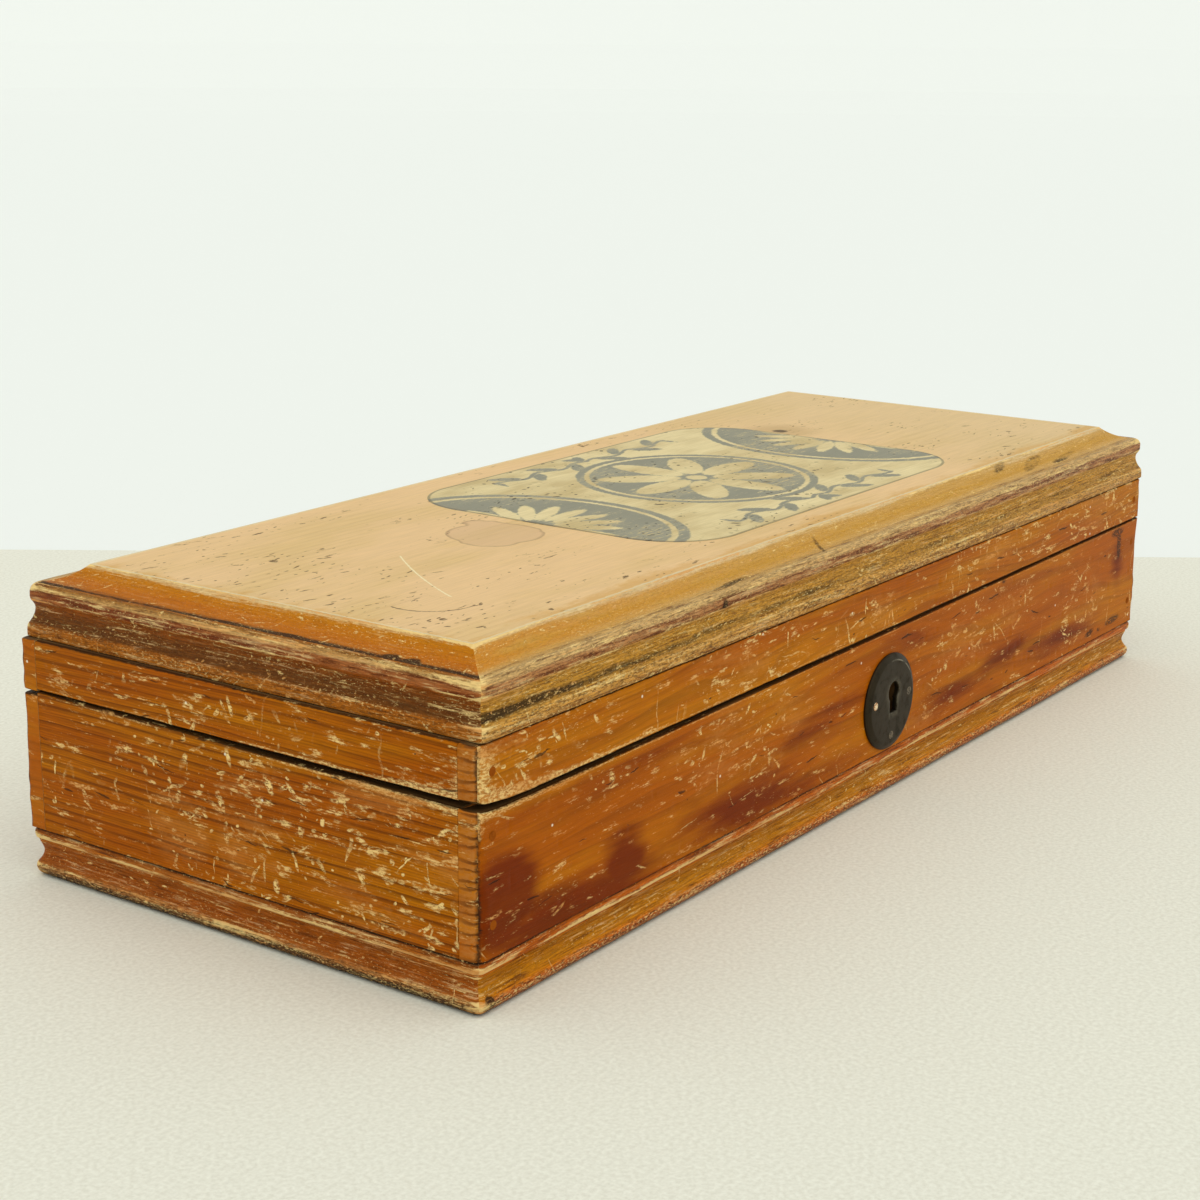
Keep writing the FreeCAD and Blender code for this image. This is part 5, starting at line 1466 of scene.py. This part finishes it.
def plain_ground(name, shade, weave):
    """Pale cloth or paper: almost even, with a faint weave."""
    f = Finish(name, Specular_IOR_Level=0.1)
    place = f.object_mm()
    fine = f.cloud(place, (0.9, 0.9, 0.9), 2.0)
    broad = f.cloud(place, (90.0, 90.0, 90.0), 2.0)
    base = f.darkened(shade, weave, fine, (205, 200, 188), (255, 255, 252))
    return f.finish(base, f.math("MULTIPLY_ADD", broad, 0.1, 0.8), fine, 0.15 * weave)


class PINEBOX_OT_stage(bpy.types.Operator):
    """Floor, light and camera"""

    bl_idname = "pinebox.stage"
    bl_label = "Stage"

    def execute(self, context):
        scene, stage = context.scene, context.scene.pinebox_stage
        back = np.array([math.sin(stage.turn) * math.cos(stage.pitch),
                         -math.cos(stage.turn) * math.cos(stage.pitch), math.sin(stage.pitch)])
        flat_right = np.array([math.cos(stage.turn), math.sin(stage.turn), 0])
        ahead = np.array([-math.sin(stage.turn), math.cos(stage.turn), 0])
        up = np.cross(flat_right, -back)
        right = math.cos(stage.roll) * flat_right + math.sin(stage.roll) * up
        over = math.cos(stage.roll) * up - math.sin(stage.roll) * flat_right
        lens = bpy.data.cameras.new("camera")
        lens.lens = stage.lens
        lens.sensor_width = 36.0
        lens.clip_start, lens.clip_end = 0.01, 50.0
        camera = bpy.data.objects.new("camera", lens)
        scene.collection.objects.link(camera)
        turn = Matrix([right, over, back]).transposed().to_4x4()
        turn.translation = stage.eye
        camera.matrix_world = turn
        scene.camera = camera
        u, v = np.meshgrid(np.linspace(-3000, stage.floor_end, 9), np.linspace(-4000, 4000, 9),
                           indexing="ij")
        self.ground("cloth_floor", u[..., None] * ahead + v[..., None] * flat_right, stage.floor, 0.35)
        turns, reach = np.meshgrid(np.linspace(0, 2 * math.pi, 65), np.linspace(0, 9000, 19),
                                   indexing="ij")
        rise = 3000 * (np.maximum(reach - 4000, 0) / 5000) ** 2 - 0.6
        bowl = np.stack([reach * np.cos(turns), reach * np.sin(turns), rise], axis=-1)
        self.ground("pale_ground", bowl, stage.wall, 0.02)
        world = bpy.data.worlds.new("soft_room")
        world.use_nodes = True
        sky = world.node_tree.nodes["Background"]
        sky.inputs["Color"].default_value = tint(243, 248, 243)
        sky.inputs["Strength"].default_value = stage.sky
        scene.world = world
        lamp = bpy.data.lights.new("wide_window", "SUN")
        lamp.energy = stage.sun
        lamp.angle = 1.3
        lamp.color = tint(255, 252, 240)[:3]
        holder = bpy.data.objects.new("wide_window", lamp)
        holder.matrix_world = aimed(np.array(stage.sunward))
        scene.collection.objects.link(holder)
        scene.view_settings.view_transform = "Standard"
        return {"FINISHED"}

    def ground(self, name, points, shade, weave):
        """A sheet on the stage from a grid of points in mm."""
        grid = np.arange(points[..., 0].size).reshape(points.shape[:2])
        quads = grid_quads(grid)
        mesh = bpy.data.meshes.new(name)
        mesh.from_pydata((points.reshape(-1, 3) * MM).tolist(), [], quads.tolist())
        mesh.materials.append(plain_ground(f"{name}_finish", shade, weave))
        sheet = bpy.data.objects.new(name, mesh)
        bpy.context.scene.collection.objects.link(sheet)


def aimed(toward):
    """Turn of a lamp that shines along a direction."""
    back = -toward / np.linalg.norm(toward)
    side = np.cross([0.0, 1.0, 0.0], back)
    side /= np.linalg.norm(side)
    return Matrix([side, np.cross(back, side), back]).transposed().to_4x4()


class PINEBOX_PT_sidebar(bpy.types.Panel):
    """The box's pieces and values"""

    bl_label = "Pine box"
    bl_idname = "PINEBOX_PT_sidebar"
    bl_space_type = "VIEW_3D"
    bl_region_type = "UI"
    bl_category = "Pine box"

    def draw(self, context):
        for operator in OPERATORS:
            self.layout.operator(operator.bl_idname)
        for group in GROUPS:
            box = self.layout.box()
            values = getattr(context.scene, group)
            for name in values.__annotations__:
                box.prop(values, name)


GROUPS = {
    "pinebox_wear": PineBoxWear,
    "pinebox_colours": PineBoxColours,
    "pinebox_panel": PineBoxPanel,
    "pinebox_stage": PineBoxStage,
}
OPERATORS = (
    PINEBOX_OT_metalwork,
    PINEBOX_OT_case_boards,
    PINEBOX_OT_base_board,
    PINEBOX_OT_lid_rails,
    PINEBOX_OT_lid_top,
    PINEBOX_OT_lid_panel,
    PINEBOX_OT_escutcheon,
    PINEBOX_OT_stage,
)


def register():
    for group in GROUPS.values():
        bpy.utils.register_class(group)
    for operator in OPERATORS:
        bpy.utils.register_class(operator)
    bpy.utils.register_class(PINEBOX_PT_sidebar)
    for name, group in GROUPS.items():
        setattr(bpy.types.Scene, name, bpy.props.PointerProperty(type=group))


def unregister():
    for name in GROUPS:
        delattr(bpy.types.Scene, name)
    bpy.utils.unregister_class(PINEBOX_PT_sidebar)
    for kind in (*OPERATORS, *GROUPS.values()):
        bpy.utils.unregister_class(kind)


def main():
    register()
    for operator in OPERATORS:
        group, name = operator.bl_idname.split(".")
        getattr(getattr(bpy.ops, group), name)()


if __name__ == "__main__":
    main()
